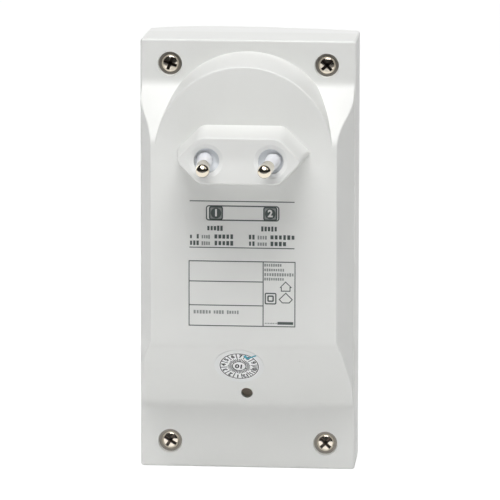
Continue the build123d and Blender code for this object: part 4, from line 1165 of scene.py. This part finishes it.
fuse_paint = banded("fuse_paint", colour=(0.10, 0.22, 0.13), roughness=0.4,
                    bands=[((0, 0, fuse_middle + shift), along_z, fuse_band_half, tint)
                           for shift, tint in fuse_bands], body=((0, 0, fuse_middle), along_z, 5.02))
varistor_blue = banded("varistor_blue", colour=(0.02, 0.07, 0.30), roughness=0.28,
                       body=((0, 30.6, 0), along_y, 4.52))
diode_epoxy = banded("diode_epoxy", colour=(0.02, 0.02, 0.022), roughness=0.3,
                     bands=[((-12.2, 0, 0), along_x, 0.35, (0.55, 0.55, 0.55))],
                     body=((-14.0, 0, 0), along_x, 2.52))
capacitor_sleeve = banded("capacitor_sleeve", colour=(0.012, 0.018, 0.05), roughness=0.25,
                          bands=[((25.4, 0, 0), along_x, 1.2, (0.42, 0.44, 0.48))])
regulator_epoxy = banded("regulator_epoxy", colour=(0.022, 0.022, 0.025), roughness=0.5,
                         body=((0, 30.0, 0), along_y, 4.92))
dress(fuse_paint, "fuse_resistor")
dress(varistor_blue, "varistor")
dress(diode_epoxy, "rectifier_diodes")
dress(capacitor_sleeve, "smoothing_capacitor")
dress(regulator_epoxy, "voltage_regulator")


# Chips and crystal
# Two black moulded chips with tinned legs along both sides, and the crystal's pressed steel can.
# The chips' tops are matt from the mould.
chip_black = (0.02, 0.02, 0.022)
chip_half_width = 3.22

melody_epoxy = banded("melody_epoxy", chip_black, roughness=0.55,
                      body=((0, 0, -60.0), along_z, chip_half_width))
amplifier_epoxy = banded("amplifier_epoxy", chip_black, roughness=0.55,
                         body=((0, 0, -66.0), along_z, chip_half_width))
crystal_can = metal("crystal_can", colour=(0.62, 0.62, 0.60), roughness=0.24, stretch=(0.1, 1, 1))
dress(melody_epoxy, "melody_chip")
dress(amplifier_epoxy, "amplifier_chip")
dress(crystal_can, "crystal")


# Radio receiver
# A small board on a row of pins, with a folded tin can over its circuit and a wound tuning coil.
# The coil is five open turns of enamelled copper wire.
coil_middle = Vector((7.75, 43.05, -13.0))
coil_wire = 0.4
coil_radius = 1.6
coil_length = 2.1
coil_turns = 5.0

radio_green = board_material("radio_green", lacquer=(0.010, 0.07, 0.055), track=(0.03, 0.16, 0.12))
header_gold = metal("header_gold", colour=(0.80, 0.58, 0.24), roughness=0.2)
shield_tin = metal("shield_tin", colour=(0.64, 0.64, 0.63), roughness=0.33, stretch=(0.08, 1, 1),
                   relief=0.008)
dress(radio_green, "receiver_board")
dress(header_gold, "receiver_pins")
dress(shield_tin, "receiver_shield")

coil_tree, given, made = node_tree("open_coil", Radius="Float", Length="Float", Turns="Float", Wire="Float",
                                   Finish="Material")
helix = place_node(coil_tree, "GeometryNodeCurveSpiral", values={"Resolution": 20},
                   links={"Rotations": given.outputs["Turns"], "Start Radius": given.outputs["Radius"],
                          "End Radius": given.outputs["Radius"], "Height": given.outputs["Length"]})
half_wire = number(coil_tree, "MULTIPLY", given.outputs["Wire"], 0.5)
tube = swept(coil_tree, helix.outputs[0], round_section(coil_tree, half_wire, 8), capped=True)
end_tree(coil_tree, made, tube, given.outputs["Finish"])
tuning_turns = new_piece("tuning_turns", [(0, 0, 0)], [])
grow(tuning_turns, coil_tree, Radius=coil_radius * MM, Length=coil_length * MM, Turns=coil_turns,
     Wire=coil_wire * MM, Finish=enamelled_copper)
coil_start = (coil_middle - Vector((0, coil_length / 2, 0))) * MM
tuning_turns.data.transform(Matrix.Translation(coil_start) @ Matrix.Rotation(math.radians(-90), 4, "X"))
outward(tuning_turns)
smooth(tuning_turns, 60)
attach(tuning_turns, "box")
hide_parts("tuning_coil")


# Wires
# Soft insulated wires with a moulded skin: the red aerial, which runs round the top of the box,
# and the two white leads to the loudspeaker. Each is soldered where it meets a board or a terminal.
aerial_red, *_ = finish("aerial_red", colour=(0.42, 0.02, 0.015), roughness=0.42, tone=0.1, patch=3.0)
lead_white, *_ = finish("lead_white", colour=(0.70, 0.70, 0.67), roughness=0.42, tone=0.1, patch=3.0)
dress(aerial_red, "aerial_wire")
dress(lead_white, "speaker_leads")


# Loudspeaker
# A pressed steel frame with a ferrite magnet between zinc-plated plates, and a paper cone.
# The cone hangs in a soft rolled surround and a treated cloth spider, with its coil in the gap.
speaker_middle = cloth_middle
clamp_angles = (30.0, 150.0, 270.0)
clamp_circle = 28.3
clamp_screw_height = 1.4

round_ribs, given, made = shader_group("round_ribs", {"Middle": "Vector", "Pitch": "Float"},
                                       {"Ribs": "Float"})
flat = place_node(round_ribs, "ShaderNodeVectorMath", operation="MULTIPLY", values={1: (1, 0, 1)},
                  links={0: from_middle(round_ribs, given.outputs["Middle"])})
reach = place_node(round_ribs, "ShaderNodeVectorMath", operation="LENGTH", links={0: flat.outputs[0]})
ribs_out = number(round_ribs, "DIVIDE", reach.outputs["Value"], given.outputs["Pitch"])
give_out(round_ribs, made, Ribs=wave(round_ribs, number(round_ribs, "MULTIPLY", ribs_out, 2.0)))


def ribbed(name, colour, roughness, pitch, relief, values=()):
    """A round part's finish with rings pressed into it."""
    material, tree, _, bump, _ = finish(name, colour, roughness, tone=0.2, patch=4.0, relief=relief,
                                        values=values)
    ribs = use_group(tree, round_ribs, {"Middle": (0, 0, speaker_middle), "Pitch": pitch})
    tree.links.new(ribs.outputs["Ribs"], bump.inputs["Height"])
    return material


cone_paper = ribbed("cone_paper", colour=(0.035, 0.035, 0.036), roughness=0.75, pitch=2.4, relief=0.05)
cap_paper = ribbed("cap_paper", colour=(0.025, 0.025, 0.026), roughness=0.65, pitch=1.1, relief=0.01)
spider_cloth = ribbed("spider_cloth", colour=(0.36, 0.21, 0.07), roughness=0.7, pitch=1.6, relief=0.2,
                      values={"Sheen Weight": 0.2})
coil_windings = ribbed("coil_windings", colour=(0.42, 0.15, 0.06), roughness=0.35, pitch=0.3, relief=0.02,
                       values={"Metallic": 0.9})
basket_black, *_ = finish("basket_black", colour=(0.03, 0.03, 0.032), roughness=0.4, tone=0.2, patch=4.0)
foam_black, *_ = finish("foam_black", colour=(0.03, 0.03, 0.03), roughness=0.9, tone=0.3, patch=1.5,
                        grain_size=0.5, relief=0.08)
ferrite, *_ = finish("ferrite", colour=(0.045, 0.045, 0.05), roughness=0.55, tone=0.3, patch=3.0, relief=0.03)
zinc_plate = metal("zinc_plate", colour=(0.62, 0.58, 0.40), roughness=0.3, line_width=0.25, relief=0.006,
                   tone=0.2)
terminal_laminate, *_ = finish("terminal_laminate", colour=(0.24, 0.10, 0.035), roughness=0.5, tone=0.2,
                               patch=3.0)
clamp_zinc = metal("clamp_zinc", colour=(0.60, 0.60, 0.60), roughness=0.32, line_width=0.25, relief=0.006)
dress(cone_paper, "speaker_cone")
dress(cap_paper, "dust_cap")
dress(spider_cloth, "spider")
dress(coil_windings, "voice_coil")
dress(basket_black, "speaker_frame")
dress(foam_black, "speaker_gasket")
dress(ferrite, "speaker_magnet")
dress(zinc_plate, "top_plate", "speaker_yoke")
dress(terminal_laminate, "speaker_terminals")
dress(clamp_zinc, "speaker_clamps")
clamp_places = [(clamp_circle * math.cos(math.radians(angle)),
                 speaker_middle + clamp_circle * math.sin(math.radians(angle)), angle)
                for angle in clamp_angles]
clamp_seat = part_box("clamp_screws")[0].y / MM + clamp_screw_height
clamp_screws = set_screws("clamp_screws_turned", clamp_places, clamp_seat, 90, Head_Diameter=4.0,
                          Head_Height=clamp_screw_height, Shank_Diameter=2.2, Shank_Length=4.0,
                          Recess_Length=2.4, Recess_Width=0.55, Recess_Depth=0.8)
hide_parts("clamp_screws")


# Loudspeaker surround
# A soft black roll glued to the frame, and a thin ring with a raised lip glued to the cone's edge.
# The ring moves with the cone and slides just inside the roll's end.
cone_edge, roll_start, roll_end, surround_rim = 18.2, 19.2, 22.2, 25.0
surround_sheet, roll_rise, lip_height = 0.3, 0.55, 0.3
slide_gap = 0.05
arch_steps = 10
surround_rubber = ribbed("surround_rubber", colour=(0.02, 0.02, 0.02), roughness=0.55, pitch=3.0, relief=0.02)


def turned_ring(name, outline, steps=144):
    """A closed outline of radius and depth, turned about the loudspeaker's axis."""
    count = len(outline)
    turns = [math.tau * step / steps for step in range(steps)]
    vertices = [(radius * math.cos(turn), depth, speaker_middle + radius * math.sin(turn))
                for turn in turns for radius, depth in outline]
    faces = [[step * count + side, step * count + (side + 1) % count,
              (step + 1) % steps * count + (side + 1) % count, (step + 1) % steps * count + side]
             for step in range(steps) for side in range(count)]
    ring = closed_piece(name, (vertices, faces), surround_rubber)
    smooth(ring)
    return ring


surround_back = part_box("speaker_surround")[0].y / MM
surround_front = surround_back + surround_sheet
roll_middle, roll_reach = (roll_start + roll_end) / 2, (roll_end - roll_start) / 2
shares = [step / arch_steps for step in range(arch_steps, -arch_steps - 1, -1)]
arch = [(roll_middle + roll_reach * share, roll_rise * (1 - share ** 2)) for share in shares]
surround_roll = turned_ring(
    "surround_roll", [(surround_rim, surround_back), (surround_rim, surround_front)]
    + [(radius, surround_front + rise) for radius, rise in arch]
    + [(radius, surround_back + rise) for radius, rise in reversed(arch)])
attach(surround_roll, "box")
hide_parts("speaker_surround")
lip_outside = roll_start - slide_gap
lip_inside = lip_outside - surround_sheet
surround_ring = turned_ring(
    "surround_ring", [(cone_edge, surround_back), (lip_outside, surround_back),
                      (lip_outside, surround_front + lip_height), (lip_inside, surround_front + lip_height),
                      (lip_inside, surround_front), (cone_edge, surround_front)])
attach(surround_ring, "cone")


low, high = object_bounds()
